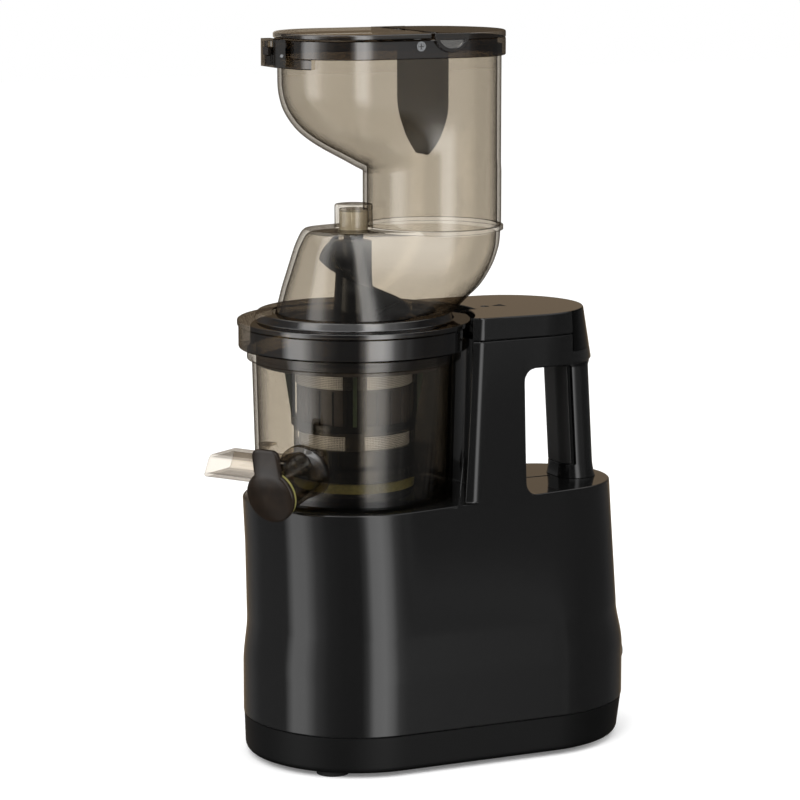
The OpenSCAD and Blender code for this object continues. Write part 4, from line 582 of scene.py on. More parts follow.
inside = carve(
    lofted(skirt_rows(wall_t, 24, 262)),
    [bay(bowl_bay_r + wall_t, 158, 290), hand_hole(wall_t)],
)
openings = bmesh.new()
block(openings, *rocker_port)
block(openings, (-0.4, 93, 161.2), (0.4, 136, 163))
for i in range(5):
    block(openings, (-18.7, 108, 58 + 6 * i), (18.7, 190, 61 + 6 * i))
rod(openings, 7, 60, (0, 170, 44), "Y")
outside = carve(
    lofted(skirt_rows(0, 25.4, 258.9)),
    [bay(bowl_bay_r), hand_hole(0), corner_cut(1), corner_cut(-1)],
)
shaft_hole = solid(rod(bmesh.new(), 12.2, 12, (0, 0, 160)))
housing = carve(outside, [inside, solid(openings), band_ring(3, band_gap), shaft_hole])
housing = round_edges(settle("housing", housing, gloss_abs), 0.9)
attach(housing, "base")
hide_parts("housing_shell")

# Tower top: the same polished ABS, a cap pressed into the tower with a fine shadow line under
# it, notched in front for the hopper's locking tab and marked with a dot and an arrow.
cap_insets = ((259.3, 0.25), (259.5, 0), (271.9, 0), (272.6, 0.3), (273, 1.0))
under = carve(lofted([(tower_line(z, 6), z) for z in (258, 270)]), [bay(87)])
notch = sector(70, 79, [83 + 3.4 * i for i in range(11)], 265, 10)
marks = rod(bmesh.new(), 2.5, 1.6, (0, 89, 273.2), segments=32)
bmesh.ops.create_cone(
    marks, cap_ends=True, segments=3, radius1=5, radius2=5, depth=1.6,
    matrix=Matrix.Translation((0, 99, 273.2)) @ Matrix.Rotation(math.radians(180), 4, "Z"),
)
pocket = box((-7.5, 100, 251.5), (7.5, 230, 269.5))
top = carve(
    lofted([(tower_line(z, inset), z) for z, inset in cap_insets]),
    [
        bay(bowl_bay_r), corner_cut(1), corner_cut(-1), under, notch, solid(marks), pocket,
        band_ring(3, band_gap),
    ],
)
tower_top = round_edges(settle("tower_top", top, gloss_abs), 0.5)
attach(tower_top, "base")
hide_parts("tower_cap")

# Gloss band: a thin piano-black strip let into the rear of the tower round the power switch.
piano_black, tree = new_finish("piano-black acrylic strip")
rub = spread(tree, grain(tree, 900.0, 2.0), 0.03, 0.05)
surface(
    tree,
    {"Base Color": linear("#020202"), "IOR": 1.49, "Specular IOR Level": 0.2},
    {"Roughness": rub.outputs["Result"]},
)
rear_band = settle("rear_band", band_ring(0, 0, box(*rocker_port)), piano_black)
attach(rear_band, "base")
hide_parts("gloss_band")

# Carry handle: a polished post moulded with the housing, waisted between two bosses, with a
# soft-touch elastomer pad let into its front where the fingers close, behind a shadow groove.
soft_touch, tree = new_finish("soft-touch elastomer, moulded")
# the skin's bloom is 0.1 mm; drawn at 0.8 mm
bloom = grain(tree, 1250.0, 4.0)
dents = add(tree, "Bump", {"Strength": 0.2, "Distance": 0.00008}, {"Height": bloom.outputs["Fac"]})
surface(
    tree,
    {
        "Base Color": linear("#1a1918"), "Roughness": 0.55, "IOR": 1.46, "Sheen Weight": 0.12,
        "Sheen Roughness": 0.5,
    },
    {"Normal": dents.outputs["Normal"]},
)


def pad_line(half_x, half_y, r, y, n=11):
    """A rectangle with round corners, about a place on the middle line."""
    points = []
    for q, (sx, sy) in enumerate(((1, 1), (-1, 1), (-1, -1), (1, -1))):
        for i in range(n):
            a = math.radians(90 * q + 90 * i / (n - 1))
            points.append((sx * (half_x - r) + r * math.cos(a), y + sy * (half_y - r) + r * math.sin(a)))
    return points


def grip_y(z):
    return mix(150.5, 145.8, (z - deck_z) / (hand_top - deck_z))


grip_rows = [
    (deck_z, 1.6), (162.8, 1.3), (164, 0.95), (166, 0.55), (168.6, 0.2), (171.2, 0), (200, 0), (233, 0),
    (234, 0.1), (235, 0.5), (236.2, 0.8), (240.5, 0.8),
]
grip_half = (16, 11.5, 10.35)
post = lofted([(pad_line(*[size + g for size in grip_half], grip_y(z)), z) for z, g in grip_rows])
slit_rows = [(pad_line(32, 7.4, 1, grip_y(z) - grip_half[1], 5), z) for z in (171, 234)]
core_rows = [(pad_line(14, 9.5, 8.35, grip_y(z)), z) for z in (170, 235)]
slit = carve(lofted(slit_rows), [lofted(core_rows)])
grip = round_edges(settle("grip", carve(post, [slit]), gloss_abs), 0.4)
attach(grip, "base")
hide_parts("handle_grip")

pad_skin = lofted([(pad_line(*grip_half, grip_y(z)), z) for z in (171.2, 202, 233.8)])
rear_rows = [(pad_line(32, 20, 1, grip_y(z) + 13.5, 5), z) for z in (160, 245)]
pad_piece = carve(pad_skin, [lofted(rear_rows), lofted(core_rows)])
grip_pad = round_edges(settle("grip_pad", pad_piece, soft_touch), 0.6)
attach(grip_pad, "base")
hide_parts("grip_insert")

# Bowl: smoky transparent copolyester, injection moulded 2.5 mm thick, with a heavy rim, a
# raised well round the drive and a wall that widens upwards. The plastic darkens towards its
# outline, where the eye looks through more of it.
def smoky(name, face_on, edge_on, gloss_rough=0.02, waviness=0.03, shine=0.055, grazing=0.15):
    """A clear plastic, with its tint and its mirror share seen face on and edge on; an edge-on colour
    paler than the face-on one paints a reflection.
    """
    finish, tree = new_finish(name)
    facing = add(tree, "LayerWeight", {"Blend": 0.5})
    depth = add(tree, "ValToRGB", links={"Fac": facing.outputs["Facing"]})
    middle = [mix(a, b, 0.3) for a, b in zip(linear(face_on), linear(edge_on))]
    set_stops(depth.color_ramp, [(0.5, linear(face_on)), (0.74, middle), (1.0, linear(edge_on))])
    flow = grain(tree, 40.0, 1.0)
    waves = add(tree, "Bump", {"Strength": waviness, "Distance": 0.0008}, {"Height": flow.outputs["Fac"]})
    through = add(tree, "BsdfTransparent", links={"Color": depth.outputs["Color"]})
    mirror = add(
        tree,
        "BsdfGlossy",
        {"Roughness": gloss_rough, "Color": (1, 1, 1, 1)},
        {"Normal": waves.outputs["Normal"]},
    )
    edge = add(tree, "Fresnel", {"IOR": 1.5}, {"Normal": waves.outputs["Normal"]})
    part = add(tree, "ValToRGB", links={"Fac": edge.outputs[0]})
    grey = [(0.04, shine), (0.35, shine + 0.06), (1.0, max(grazing, shine + 0.06))]
    set_stops(part.color_ramp, [(at, (v, v, v, 1)) for at, v in grey])
    layers = {0: part.outputs["Color"], 1: through.outputs[0], 2: mirror.outputs[0]}
    both = add(tree, "MixShader", links=layers)
    add(tree, "OutputMaterial", links={"Surface": both.outputs[0]})
    return finish


smoke_clear = smoky("smoky transparent copolyester, moulded", "#e9e5de", "#3b352e")


def soften(points, radius, steps=4):
    """A closed profile with its corners rounded; a point may carry its own radius."""
    line = []
    count = len(points)
    for i, point in enumerate(points):
        r = point[2] if len(point) > 2 else radius
        p = Vector(point[:2])
        before = Vector(points[i - 1][:2]) - p
        after = Vector(points[(i + 1) % count][:2]) - p
        reach = min(r, before.length * 0.45, after.length * 0.45)
        if reach < 0.02:
            line.append(tuple(p))
            continue
        a = p + before.normalized() * reach
        b = p + after.normalized() * reach
        for k in range(steps + 1):
            t = k / steps
            line.append(tuple(a * (1 - t) ** 2 + p * 2 * t * (1 - t) + b * t * t))
    return line


def turned(shape, profile, steps=128, matrix=None):
    """A closed profile of (radius, height), spun into a ring round the auger axis."""
    verts = [shape.verts.new((r, 0, z)) for r, z in profile]
    edges = [shape.edges.new((verts[i], verts[(i + 1) % len(verts)])) for i in range(len(verts))]
    before = set(shape.verts) - set(verts)
    bmesh.ops.spin(
        shape, geom=verts + edges, cent=(0, 0, 0), axis=(0, 0, 1), angle=2 * math.pi, steps=steps,
        use_merge=True,
    )
    if matrix is not None:
        bmesh.ops.transform(shape, matrix=matrix, verts=[v for v in shape.verts if v not in before])
    return shape


foot_r = 60.3
spout_turn = 36
spout_slope = 12
pulp_turn = -57
spout_bore_r = 11.8
spout_way = (
    Matrix.Rotation(math.radians(spout_turn - 90), 4, "Z")
    @ Matrix.Translation((foot_r, 0, 185))
    @ Matrix.Rotation(math.radians(90 + spout_slope), 4, "Y")
)
pulp_way = Matrix.Rotation(math.radians(pulp_turn - 90), 4, "Z")
spout_l = (94 - foot_r) / math.cos(math.radians(spout_slope))

bowl_profile = soften(
    [
        (8.3, 162.6, 0.3), (foot_r, 162.6, 1.2), (62.4, 247, 0.8), (65.4, 247, 0.7), (65.4, 253.6, 0.7),
        (62.4, 253.6, 0.8), (62.4, 266, 0.7), (59.9, 266, 0.7), (59.9, 247, 3), (57.8, 165.6, 2.4),
        (35.4, 165.6, 0.8), (35.4, 181.4, 0.6), (32.8, 181.4, 0.6), (32.8, 165.6, 0.8), (8.3, 165.6, 0.3),
    ],
    0.8,
)
spout_bore = bmesh.new()
bmesh.ops.create_cone(
    spout_bore, cap_ends=True, segments=48, radius1=spout_bore_r, radius2=spout_bore_r, depth=24,
    matrix=spout_way,
)
pulp_bore = bmesh.new()
block(pulp_bore, (40, -13, 165.8), (70, 13, 176.5))
bmesh.ops.transform(pulp_bore, matrix=pulp_way, verts=pulp_bore.verts)
bowl_wall = carve(solid(turned(bmesh.new(), bowl_profile)), [solid(spout_bore), solid(pulp_bore)])
bowl = settle("bowl_wall", bowl_wall, smoke_clear)
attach(bowl, "bowl")
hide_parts("juice_bowl")

# Juice spout: a tube of the same plastic that flares where it leaves the bowl, bored right
# through, with two lugs on top for the hinge pin of its stopper.
flare = [(spout_bore_r, -2.4), (17, -2.4), (17, 0)]
for i in range(9):
    t = i / 8
    flare.append((mix(17, 14, math.sin(math.pi / 2 * t)), 7.5 * t))
flare += [(14, spout_l - 0.5), (13.5, spout_l), (12.3, spout_l), (spout_bore_r, spout_l - 0.5)]
tube = turned(bmesh.new(), flare, 64, spout_way)
hinge_lugs = bmesh.new()
for side in (-1, 1):
    block(hinge_lugs, (-20.9, side * 7 - 1.5, spout_l - 5), (-13, side * 7 + 1.5, spout_l - 0.5))
bmesh.ops.transform(hinge_lugs, matrix=spout_way, verts=hinge_lugs.verts)
spout = carve(solid(tube), [], [solid(hinge_lugs)])
thick_smoke = smoky(
    "smoky transparent copolyester, thick spout", "#d6cfc4", "#3d3730", 0.03, 0.04, 0.08
)
spout = settle("juice_spout", spout, thick_smoke)
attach(spout, "bowl")

# Pulp outlet: a square duct of a paler, thinner wall that sticks out at the left of the bowl,
# cut slanting at its mouth, with a small ledge above it.
pale_smoke = smoky("pale smoky copolyester, moulded", "#efebe5", "#57514a")
mouth_slant = 5


def lengthwise(shape):
    return [e for e in shape.edges if abs(e.verts[0].co.x - e.verts[1].co.x) > 30]


duct = bmesh.new()
block(duct, (59.5, -15, 163.5), (104, 15, 178.5))
for v in duct.verts:
    if v.co.x > 100 and v.co.z > 170:
        v.co.x -= mouth_slant
soft_corners(duct, lengthwise(duct), 3, 5)
duct_bore = bmesh.new()
block(duct_bore, (50, -13, 165.5), (112, 13, 176.5))
soft_corners(duct_bore, lengthwise(duct_bore), 1.6, 4)
ledge = bmesh.new()
block(ledge, (60.6, -4.5, 185.5), (69.3, 4.5, 187.1))
block(ledge, (65.7, -4.5, 182.5), (67.3, 4.5, 186.3))
duct_piece = carve(solid(duct), [solid(duct_bore)], [solid(ledge)])
duct_piece.data.transform(pulp_way)
pulp_duct = round_edges(settle("pulp_duct", duct_piece, pale_smoke), 0.45, segments=2)
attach(pulp_duct, "bowl")
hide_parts("pulp_outlet")

# Stopper of the juice spout: a thick dark brown disc on a pinned arm, pulled shut by a thumb
# lever that stands above the spout. Moulded in one piece, glossy.
cap_brown, tree = new_finish("dark brown smoky plastic, moulded")
haze = grain(tree, 120.0, 2.0)
tone = add(tree, "ValToRGB", links={"Fac": haze.outputs["Fac"]})
set_stops(tone.color_ramp, [(0.35, linear("#1a1511")), (0.7, linear("#211a14"))])
surface(tree, {"Roughness": 0.07, "IOR": 1.45}, {"Base Color": tone.outputs["Color"]})
z = spout_l + 2
disc = soften(
    [
        (0.05, z), (16, z, 0.8), (16, z + 2.9, 1.6), (12.5, z + 3.5, 3), (7, z + 3.95, 3),
        (0.05, z + 4.15),
    ],
    0.1,
)
lid_disc = turned(bmesh.new(), disc, 96)
bmesh.ops.remove_doubles(lid_disc, verts=lid_disc.verts, dist=0.2)
arm = bmesh.new()
block(arm, (-29.6, -9, z), (-6.4, 9, z + 3))
upright = [e for e in arm.edges if abs(e.verts[0].co.z - e.verts[1].co.z) > 1]
soft_corners(arm, [e for e in upright if e.verts[0].co.x < -20], 4.5, 8)
soft_corners(arm, [e for e in arm.edges if e.is_manifold and e.calc_face_angle() > 1], 0.7, 3)
knuckle = bmesh.new()
block(knuckle, (-21.1, -4.8, spout_l - 2.5), (-16.1, 4.8, z + 1.5))
rod(knuckle, 3.2, 9.6, (-18.6, 0, spout_l - 2.5), "Y", 40)
stopper = carve(solid(lid_disc), [], [solid(arm), solid(knuckle)])
stopper.data.transform(spout_way)
juice_cap = settle("spout_stopper", stopper, cap_brown)
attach(juice_cap, "cap")
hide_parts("juice_cap")

# Auger: one glossy black PEI moulding. A tapering core carries two press flights that run
# close to the strainer, and above the flange one broad feed flight that draws the fruit down.
black_pei, tree = new_finish("polished black polyetherimide, moulded")
rub = spread(tree, grain(tree, 260.0, 3.0), 0.06, 0.11)
surface(tree, {"Base Color": linear("#030302"), "IOR": 1.56}, {"Roughness": rub.outputs["Result"]})
waist_z = 244
core_top = 318.5


def core_r(z):
    """The core's radius: a steep taper to the waist, then a slight one."""
    if z < waist_z:
        return mix(24, 15, (z - 184.2) / 59.8)
    return mix(15, 11, min(1, (z - waist_z) / ((core_top - waist_z) * 0.72)))


def flight(low, high, pitch, start, radii, steps):
    """A wing swept up the core: a tapered section spun with a rise, then drawn to its radius."""
    shape = bmesh.new()
    turn = -2 * math.pi * (high - low) / pitch
    angle = math.radians(start)
    section = [(8.0, -3.0), (30.0, -1.3), (30.8, -0.6), (30.8, 0.6), (30.0, 1.3), (8.0, 3.0)]
    verts = [shape.verts.new((r * math.cos(angle), r * math.sin(angle), low + z)) for r, z in section]
    face = shape.faces.new(verts)
    rise = (high - low) / steps
    bmesh.ops.spin(
        shape, geom=[face], cent=(0, 0, 0), axis=(0, 0, 1), dvec=(0, 0, rise), angle=turn, steps=steps,
        use_duplicate=False,
    )
    for v in shape.verts:
        r = math.hypot(v.co.x, v.co.y)
        z = v.co.z
        middle = min(high, max(low, z))
        t = (middle - low) / (high - low)
        k = t * (len(radii) - 1)
        j = min(int(k), len(radii) - 2)
        outer = mix(radii[j], radii[j + 1], k - j)
        ease = min(1, 6 * t + 0.2, 6 * (1 - t) + 0.2)
        tip = max(core_r(middle) + 1, mix(core_r(middle), outer, ease))
        new_r = core_r(middle) - 1.8 if r < 10 else tip - (30.8 - r)
        v.co.x *= new_r / r
        v.co.y *= new_r / r
    return solid(shape)


core_line = soften(
    [
        (8.1, 166.1), (9.1, 166.1), (9.1, 181.2), (13.4, 181.2), (13.4, 184.2), (24, 185.2, 0.6),
        (15, waist_z, 6), (11, 297.6, 8), (11, core_top, 0.6), (6, core_top, 0.3), (6, 334.2, 0.6),
        (0.05, 334.4), (0.05, 204), (8.1, 204),
    ],
    0.1,
)
core = turned(bmesh.new(), core_line, 96)
bmesh.ops.remove_doubles(core, verts=core.verts, dist=0.12)
press_pitch = 34
feed_pitch = 84
wings = []
for q in (0, 180):
    wings.append(flight(188.2, 209, press_pitch, q, [30.6, 30.6], 60))
    wings.append(flight(213.5, 241, press_pitch, q + 40, [32.4, 32.4], 80))
feed_start = 245.4 + 360 * 78.3 / feed_pitch
wings.append(flight(241, 319.3, feed_pitch, feed_start, [32.4, 34.3, 35.4, 32.9, 29, 24], 160))
press_screw = settle("auger_body", carve(solid(core), [], wings), black_pei, 40)
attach(press_screw, "press")
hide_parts("auger")

# Hopper: the same smoky copolyester. A collar turns and locks on the bowl's lugs; above it the
# wall leans back like an elbow to a flat deck, whose boss carries the top of the auger.
def through_shares(stops, values, t):
    """A smooth curve through a table, with no overshoot."""
    i = max(0, min(len(stops) - 2, sum(1 for s in stops if s <= t) - 1))
    slopes = [(values[k + 1] - values[k]) / (stops[k + 1] - stops[k]) for k in range(len(stops) - 1)]

    def tangent(k):
        if k == 0:
            return slopes[0]
        if k == len(stops) - 1:
            return slopes[-1]
        a, b = slopes[k - 1], slopes[k]
        return 0.0 if a * b <= 0 else 2 * a * b / (a + b)

    width = stops[i + 1] - stops[i]
    u = (t - stops[i]) / width
    return (
        values[i] * (2 * u**3 - 3 * u**2 + 1)
        + values[i + 1] * (3 * u**2 - 2 * u**3)
        + width * (tangent(i) * (u**3 - 2 * u**2 + u) + tangent(i + 1) * (u**3 - u**2))
    )


elbow_z = [0, 0.09, 0.236, 0.345, 0.49, 0.636, 0.818, 1]
elbow_front = [0, 0.08, 0.195, 0.28, 0.42, 0.56, 0.744, 1]
elbow_rear = [0, 0.16, 0.42, 0.616, 0.783, 0.9, 0.98, 1]
chute_y = 52.6
chute_r = 42.2
hopper_t = 2.5
deck_round = 1.2


def elbow_rows(inset, low, high):
    """The elbow's outlines from the collar up to its deck, whose edge is rounded."""
    rows = []
    for i in range(41):
        t = i / 40
        f = through_shares(elbow_z, elbow_front, t)
        r = through_shares(elbow_z, elbow_rear, t)
        near = max(0.0, (i - 37) / 3)
        pinch = inset + deck_round * (1 - math.sqrt(max(0, 1 - near * near)))
        front_r, rear_r = mix(49, 27.5, f) - pinch, mix(45, chute_r, r) - pinch
        rows.append((outline(front_r, -4 * f, rear_r, mix(13, chute_y, r), 160), mix(low, high, t)))
    return rows


collar_profile = soften(
    [
        (36.4, 247, 0.3), (38.8, 247, 0.3), (38.8, 268, 1), (63.2, 268, 1.5), (63.2, 254, 0.4),
        (70.5, 254, 1.2), (70.5, 267.4, 0.6), (71.3, 268, 0.3), (71.3, 271, 0.6), (61, 271.2, 0.8),
        (59, 276, 0.8), (50, 276, 0.4), (50, 271.5, 0.3), (36.4, 271, 0.4),
    ],
    0.5,
)
chute_hole = solid(rod(bmesh.new(), 39.35, 12, (0, chute_y, 325), segments=128))
journal_bore = solid(rod(bmesh.new(), 8.7, 16.9, (0, 0, 329.7), segments=64))
boss_line = soften([(0.05, 322), (11.6, 322), (11.6, 341, 1.4), (0.05, 341)], 0.1)
boss = turned(bmesh.new(), boss_line, 64)
bmesh.ops.remove_doubles(boss, verts=boss.verts, dist=0.12)
joint = solid(rod(bmesh.new(), 43.8, 2.5, (0, chute_y, 324.75), segments=128))
elbow = carve(
    lofted(elbow_rows(0, 271, 326)),
    [lofted(elbow_rows(hopper_t, 270, 326 - hopper_t)), chute_hole, journal_bore],
    [solid(boss), joint],
)
hopper_wall = settle("hopper_elbow", elbow, smoke_clear, 40)
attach(hopper_wall, "hopper")
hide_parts("hopper_base")
collar_smoke = smoky(
    "smoky transparent copolyester, heavy collar", "#a79f93", "#3d372f", 0.04, 0.05, 0.12
)
lock_tab = sector(69.5, 77.5, range(86, 95), 267, 4)
collar = carve(solid(turned(bmesh.new(), collar_profile)), [], [lock_tab])
collar = settle("hopper_collar", collar, collar_smoke)
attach(collar, "hopper")

# Feed chute: a round tube glued over the hopper's deck that opens forwards into a wide oval
# funnel, blown thin-walled in the same smoky plastic.
funnel_z = [0, 0.078, 0.156, 0.26, 0.312, 0.416, 0.48, 0.7, 1]
funnel_front = [0.5, 0.595, 0.69, 0.774, 0.833, 0.905, 0.952, 1, 1]
funnel_shift = [0.6, 0.516, 0.36, 0.193, 0.125, 0.067, 0.035, 0, 0]


def gentle(stops, values, t):
    """The same curve with its bends eased over a tenth of its length."""
    near = [max(0.0, min(1.0, t + 0.022 * k)) for k in range(-3, 4)]
    return sum(through_shares(stops, values, u) for u in near) / len(near)


funnel_top = 436
mouth_r = 42
mouth_y = -4


def chute_line(z, inset):
    """The chute's outline at a height: a tube below, and above it the funnel that opens forwards."""
    low = 359 if inset == 0 else 361.5
    if z < low:
        return outline(21 - inset, chute_y - 21.6, 42.5 - inset, chute_y, 160)
    t = min(1, (z - low) / (funnel_top - low))
    f = mouth_r * gentle(funnel_z, funnel_front, t)
    s = mix(mouth_y, chute_y, gentle(funnel_z, funnel_shift, t))
    blend = max(0, 1 - (z - low) / 5)
    s = mix(s, 31.0, blend * blend)
    f = mix(f, 21, blend * blend)
    return outline(f - inset, s, chute_r + 0.3 * blend - inset, chute_y, 160)


heights = [326.2, 327, 340, 354, 357, 359, 360, 361.5]
heights += [361.5 + 74.1 * i / 60 for i in range(1, 61)]
rows = [(chute_line(z, 0), z) for z in heights]
lip_rows = ((funnel_top, 0.5), (funnel_top, 2.0), (435.4, hopper_t))
rows += [(chute_line(z, inset), z) for z, inset in lip_rows]
rows += [(chute_line(z, hopper_t), z) for z in reversed(heights[:-1])]
chute = settle("chute_and_funnel", stack(bmesh.new(), rows, closed=True), smoke_clear, 40)
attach(chute, "hopper")
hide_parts("feed_chute")

# Rim of the funnel: a dark smoky ring screwed round the mouth, with a keeper lip in front that
# the latch hooks under. Rounded outside, plain inside.
smoke_dark = smoky("dark smoky copolyester, moulded", "#9d9488", "#38332c", 0.03, 0.04, 0.12)


def mouth_rows(table):
    """Outlines of the mouth at (distance out, height)."""
    return [(outline(mouth_r + out, mouth_y, chute_r + out, chute_y, 160), z) for out, z in table]


ring_table = [
    (2.1, 430), (2.55, 430.5), (2.55, 439.6), (2.3, 440.6), (1.7, 441), (-1.6, 441), (-2.2, 440.7),
    (-2.5, 440), (-2.5, 437), (-2.3, 436.4), (0.35, 436.4), (0.35, 430),
]
rim = settle("mouth_ring", stack(bmesh.new(), mouth_rows(ring_table), closed=True), smoke_dark)
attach(rim, "hopper")
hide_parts("rim_ring")
lip_table = [(2.1, 424), (2.5, 424.4), (2.5, 429.9), (0.45, 429.9), (0.45, 424)]
lip = stack(bmesh.new(), mouth_rows(lip_table), closed=True)
lip_cut = bmesh.new()
block(lip_cut, (-90, mouth_y - 34.9, 420), (90, 160, 435))
block(lip_cut, (-8.6, -60, 425.8), (8.6, -30, 429.4))
keeper = round_edges(settle("latch_keeper", carve(solid(lip), [solid(lip_cut)]), smoke_dark), 0.3)
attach(keeper, "hopper")

# Lid and rear cover: dark smoky plates over the mouth. The lid hinges on a steel pin at the
# rear cover, which is fixed and ends at each side in a round ear with a clear window.
pin_y = 34.6
pin_z = 441.9
knuckle_r = 2.7
top_z = 445
edge_table = [(2.55, 444), (2.2, 444.7), (1.4, top_z)]
under_lid = lofted(mouth_rows([(-2.5, 440), (-2.5, 443.2)]))
under_lid = carve(under_lid, [box((-90, 28.8, 430), (90, 160, 460))])
lid = carve(
    lofted(mouth_rows([(2.2, 441.6), (2.55, 442), *edge_table])),
    [box((-90, 31.3, 430), (90, 160, 460)), under_lid],
)
knuckle = rod(bmesh.new(), knuckle_r, 32, (0, pin_y, pin_z), "X", 40)
block(knuckle, (-16, 30.3, pin_z), (16, pin_y, 444.6))
lid = carve(lid, [solid(rod(bmesh.new(), 1.25, 80, (0, pin_y, pin_z), "X", 32))], [solid(knuckle)])
# its colour turns pale edge on: a painted reflection of the bright room on the lid's top, seen at a
# grazing angle; the mirror share is real gloss
lid_smoke_painted_glare = smoky("dark smoky copolyester, flat plate", "#8f877b", "#f0ede6", 0.05, 0.03, 0.12, 0.4)
feed_lid = round_edges(settle("mouth_lid", lid, lid_smoke_painted_glare), 0.4)
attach(feed_lid, "lid")
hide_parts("feed_lid")

flap_pin_spot = (0, 46, 436.6)
ear_x = 45.85
ear_y = 44
cover = carve(lofted(mouth_rows([(2.55, 441), *edge_table])), [box((-90, -90, 430), (90, 39, 460))])
for side in (-1, 1):
    ear = rod(bmesh.new(), 11.5, 1.8, (side * ear_x, ear_y, top_z), "X", 72)
    window = rod(bmesh.new(), 9.1, 6, (side * ear_x, ear_y, top_z), "X", 72)
    low, high = sorted((side * 40, side * 50))
    window = carve(solid(window), [box((low, 30, 441), (high, 60, 446))])
    ear = carve(solid(ear), [box((-90, 0, top_z), (90, 90, 470)), window])
    filler = bmesh.new()
    low, high = sorted((side * 42.2, side * 45.65))
    block(filler, (low, 39, 441.5), (high, 53.2, 444.5))
    low, high = sorted((side * 17, side * 33.2))
    block(filler, (low, pin_y, 441.1), (high, 40, 444.75))
    rod(filler, knuckle_r, 16.2, (side * 25.1, pin_y, pin_z), "X", 40)
    low, high = sorted((side * 36.2, side * 38))
    block(filler, (low, 43, 433.6), (high, 49, 441.3))
    cover = carve(cover, [], [ear, solid(filler)])
flap_pin_bore = solid(rod(bmesh.new(), 1.5, 80, flap_pin_spot, "X", 32))
cover = carve(cover, [box((-35.6, 41.5, 440), (35.6, 50.5, 442)), flap_pin_bore])
rear_cover = round_edges(settle("mouth_rear_cover", cover, smoke_dark), 0.3)
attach(rear_cover, "hopper")
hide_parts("rear_cover")

# Feed flap: a swinging leaf of translucent grey plastic, hung under the rear cover inside the
# funnel so that fruit falls past it and fingers don't.
flap_grey = smoky("translucent grey plastic, moulded", "#96938d", "#4b4945", 0.2, 0.02, 0.1)
flap_z = [0, 0.5, 0.62, 0.74, 0.87, 1]
flap_w = [1, 1, 0.94, 0.8, 0.58, 0.22]
flap_half = 35
leaf_y = 44.9
leaf_t = 2.2
edge_line = []
for i in range(25):
    t = i / 24
    edge_line.append((flap_half * through_shares(flap_z, flap_w, t), flap_pin_spot[2] - 3 - 64 * t))
line = edge_line + [(-x, z) for x, z in reversed(edge_line)]
leaf = solid(slab(bmesh.new(), [(x, leaf_y, z) for x, z in line], (0, leaf_t, 0)))
barrel = rod(bmesh.new(), 3, 2 * flap_half, flap_pin_spot, "X", 40)
block(barrel, (-flap_half, leaf_y, 433.2), (flap_half, leaf_y + leaf_t, 436))
bore = solid(rod(bmesh.new(), 1.55, 80, flap_pin_spot, "X", 32))
flap = carve(leaf, [bore], [solid(barrel)])
feed_flap = round_edges(settle("swing_flap", flap, flap_grey), 0.5)
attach(feed_flap, "flap")
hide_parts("feed_flap")


# Parts whose solids are already the right shape keep them, and take their real finish:
# plastics, silicones and metals by what each is made of.
def plain(name, colour, dark, rough, grain_mm, strength, metal=0.0, ior=1.5, edge=0.0, extra=None):
    """A moulded, cast or turned surface: a faint change of tone and roughness at a real grain."""
    finish, tree = new_finish(name)
    noise = grain(tree, 1000.0 / grain_mm, 3.0)
    tone = add(tree, "ValToRGB", links={"Fac": noise.outputs["Fac"]})
    set_stops(tone.color_ramp, [(0.3, linear(dark)), (0.7, linear(colour))])
    rub = spread(tree, noise, rough * 0.85, min(1, rough * 1.2))
    links = {"Height": noise.outputs["Fac"]}
    if edge:
        worn = add(tree, "Bevel", {"Radius": edge * 0.001, "samples": 4})
        links["Normal"] = worn.outputs["Normal"]
    dents = add(tree, "Bump", {"Strength": strength, "Distance": 0.0001}, links)
    settings = {"Metallic": metal}
    if not metal:
        settings["IOR"] = ior
    settings.update(extra or {})
    links = {"Base Color": tone.outputs["Color"], "Roughness": rub.outputs["Result"]}
    surface(tree, settings, {**links, "Normal": dents.outputs["Normal"]})
    return finish


def dress(finish, *names):
    """Gives solids of the frame a finish."""
    for name in names:
        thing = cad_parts[name]
        for material_slot in thing.material_slots:
            material_slot.link = "OBJECT"
            material_slot.material = finish


dress(
    plain("turned stainless steel", "#c6c8ca", "#a9abae", 0.25, 0.4, 0.05, 1.0),
    "tray_screws", "rim_screws", "cap_pin", "lid_pin", "flap_pin", "latch_pin", "motor_bearings",
    "output_bearing", "idler_post", "motor_bracket",
)
dress(plain("drawn steel can, zinc plated", "#9c9fa3", "#85888c", 0.35, 2.0, 0.05, 1.0), "motor_can")
dress(
    plain("sintered steel", "#8b8c8e", "#6c6d70", 0.5, 0.6, 0.3, 1.0),
    "rotor", "planet_carrier", "auger_socket", "lock_magnet",
)
dress(plain("varnished copper windings", "#a4592c", "#6d3516", 0.3, 1.0, 0.3, 1.0), "stator")
dress(
    plain("glass-filled nylon, matt", "#45474a", "#38393c", 0.55, 0.8, 0.2),
    "gearbox_case", "gearbox_lid", "ring_gear", "cooling_fan",
)
dress(
    plain("natural acetal", "#d8cfae", "#cbc09c", 0.35, 3.0, 0.05),
    "planet_gear_a", "planet_gear_b", "planet_gear_c",
)
dress(plain("white acetal", "#dcd8cb", "#cfcabb", 0.35, 3.0, 0.05), "auger_bush", "idler_gear")
dress(plain("green solder mask", "#1c4427", "#123019", 0.3, 2.0, 0.1), "control_board")
dress(
    plain("moulded black nylon", "#121212", "#0c0c0c", 0.35, 0.6, 0.1, edge=0.4),
    "switch_body", "power_rocker", "reed_sensor", "cord_gland", "auger_gear",
)
dress(plain("black rubber, moulded", "#141414", "#0e0e0e", 0.75, 0.7, 0.3, edge=0.6), "rubber_feet")
dress(
    plain(
        "olive silicone", "#7d7942", "#6b6736", 0.42, 2.0, 0.08, edge=0.4,
        extra={"Subsurface Weight": 0.1, "Subsurface Radius": (0.002, 0.002, 0.001)},
    ),
    "pedestal_seal", "cap_gasket", "deck_seal",
)
dress(plain("dark green silicone", "#34432b", "#27341f", 0.4, 2.0, 0.08, edge=0.4), "wiper_blades")
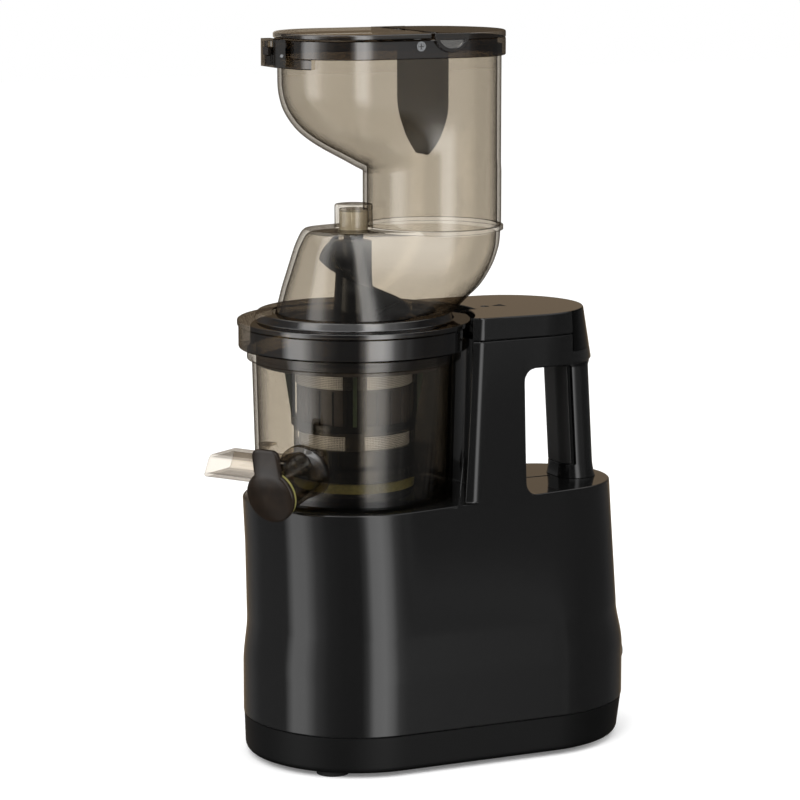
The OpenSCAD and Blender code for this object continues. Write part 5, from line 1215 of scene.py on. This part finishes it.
dress(
    plain("dark grey moulded plastic", "#3b3632", "#332f2b", 0.22, 1.5, 0.06, edge=0.4),
    "strainer_frame",
)
dress(smoky("dark smoky plastic of the latch", "#a79e90", "#3a342c", 0.03, 0.03, 0.1), "latch_housing")
dress(
    plain("dark smoky plastic, moulded", "#1b1815", "#141210", 0.08, 1.5, 0.03, edge=0.4),
    "latch_lever",
)
dress(smoky("smoky plastic of the brush cage", "#b3afa8", "#4d4a45"), "brush_cage")
dress(smoky("pale clear plastic window", "#f4f2ec", "#b7b2a2", 0.05, 0.03, 0.3), "ear_windows")

# Strainer bands: stainless sheet 0.3 mm thick, etched with fine holes and wrapped round the
# strainer in two rows, behind the windows of its dark plastic frame.
etched, tree = new_finish("etched stainless sheet")
where = add(tree, "TexCoord")
to_axis = (-auger_x * 0.001, -auger_y * 0.001, 0)
centred = add(tree, "Mapping", {"Location": to_axis}, {"Vector": where.outputs["Object"]})
apart = add(tree, "SeparateXYZ", links={"Vector": centred.outputs["Vector"]})
angle = add(tree, "Math", {"operation": "ARCTAN2"}, {0: apart.outputs["Y"], 1: apart.outputs["X"]})
mesh_r = 35.4
along = add(tree, "Math", {"operation": "MULTIPLY", 1: mesh_r}, {0: angle.outputs[0]})
up = add(tree, "Math", {"operation": "MULTIPLY", 1: 1000.0}, {0: apart.outputs["Z"]})
flat = add(tree, "CombineXYZ", links={"X": along.outputs[0], "Y": up.outputs[0]})
# the holes are 0.3 mm wide; drawn 1 mm apart so that they show
holes = add(
    tree,
    "TexVoronoi",
    {"voronoi_dimensions": "2D", "Scale": 0.95, "Randomness": 0.12},
    {"Vector": flat.outputs["Vector"]},
)
open_share = add(
    tree, "MapRange", {"From Min": 0.3, "From Max": 0.36}, {"Value": holes.outputs["Distance"]}
)
tone = add(tree, "ValToRGB", links={"Fac": open_share.outputs["Result"]})
set_stops(tone.color_ramp, [(0.0, linear("#6a6865")), (1.0, linear("#dddbd7"))])
surface(tree, {"Metallic": 0.5, "Roughness": 0.38}, {"Base Color": tone.outputs["Color"]})
dress(etched, "strainer_mesh")
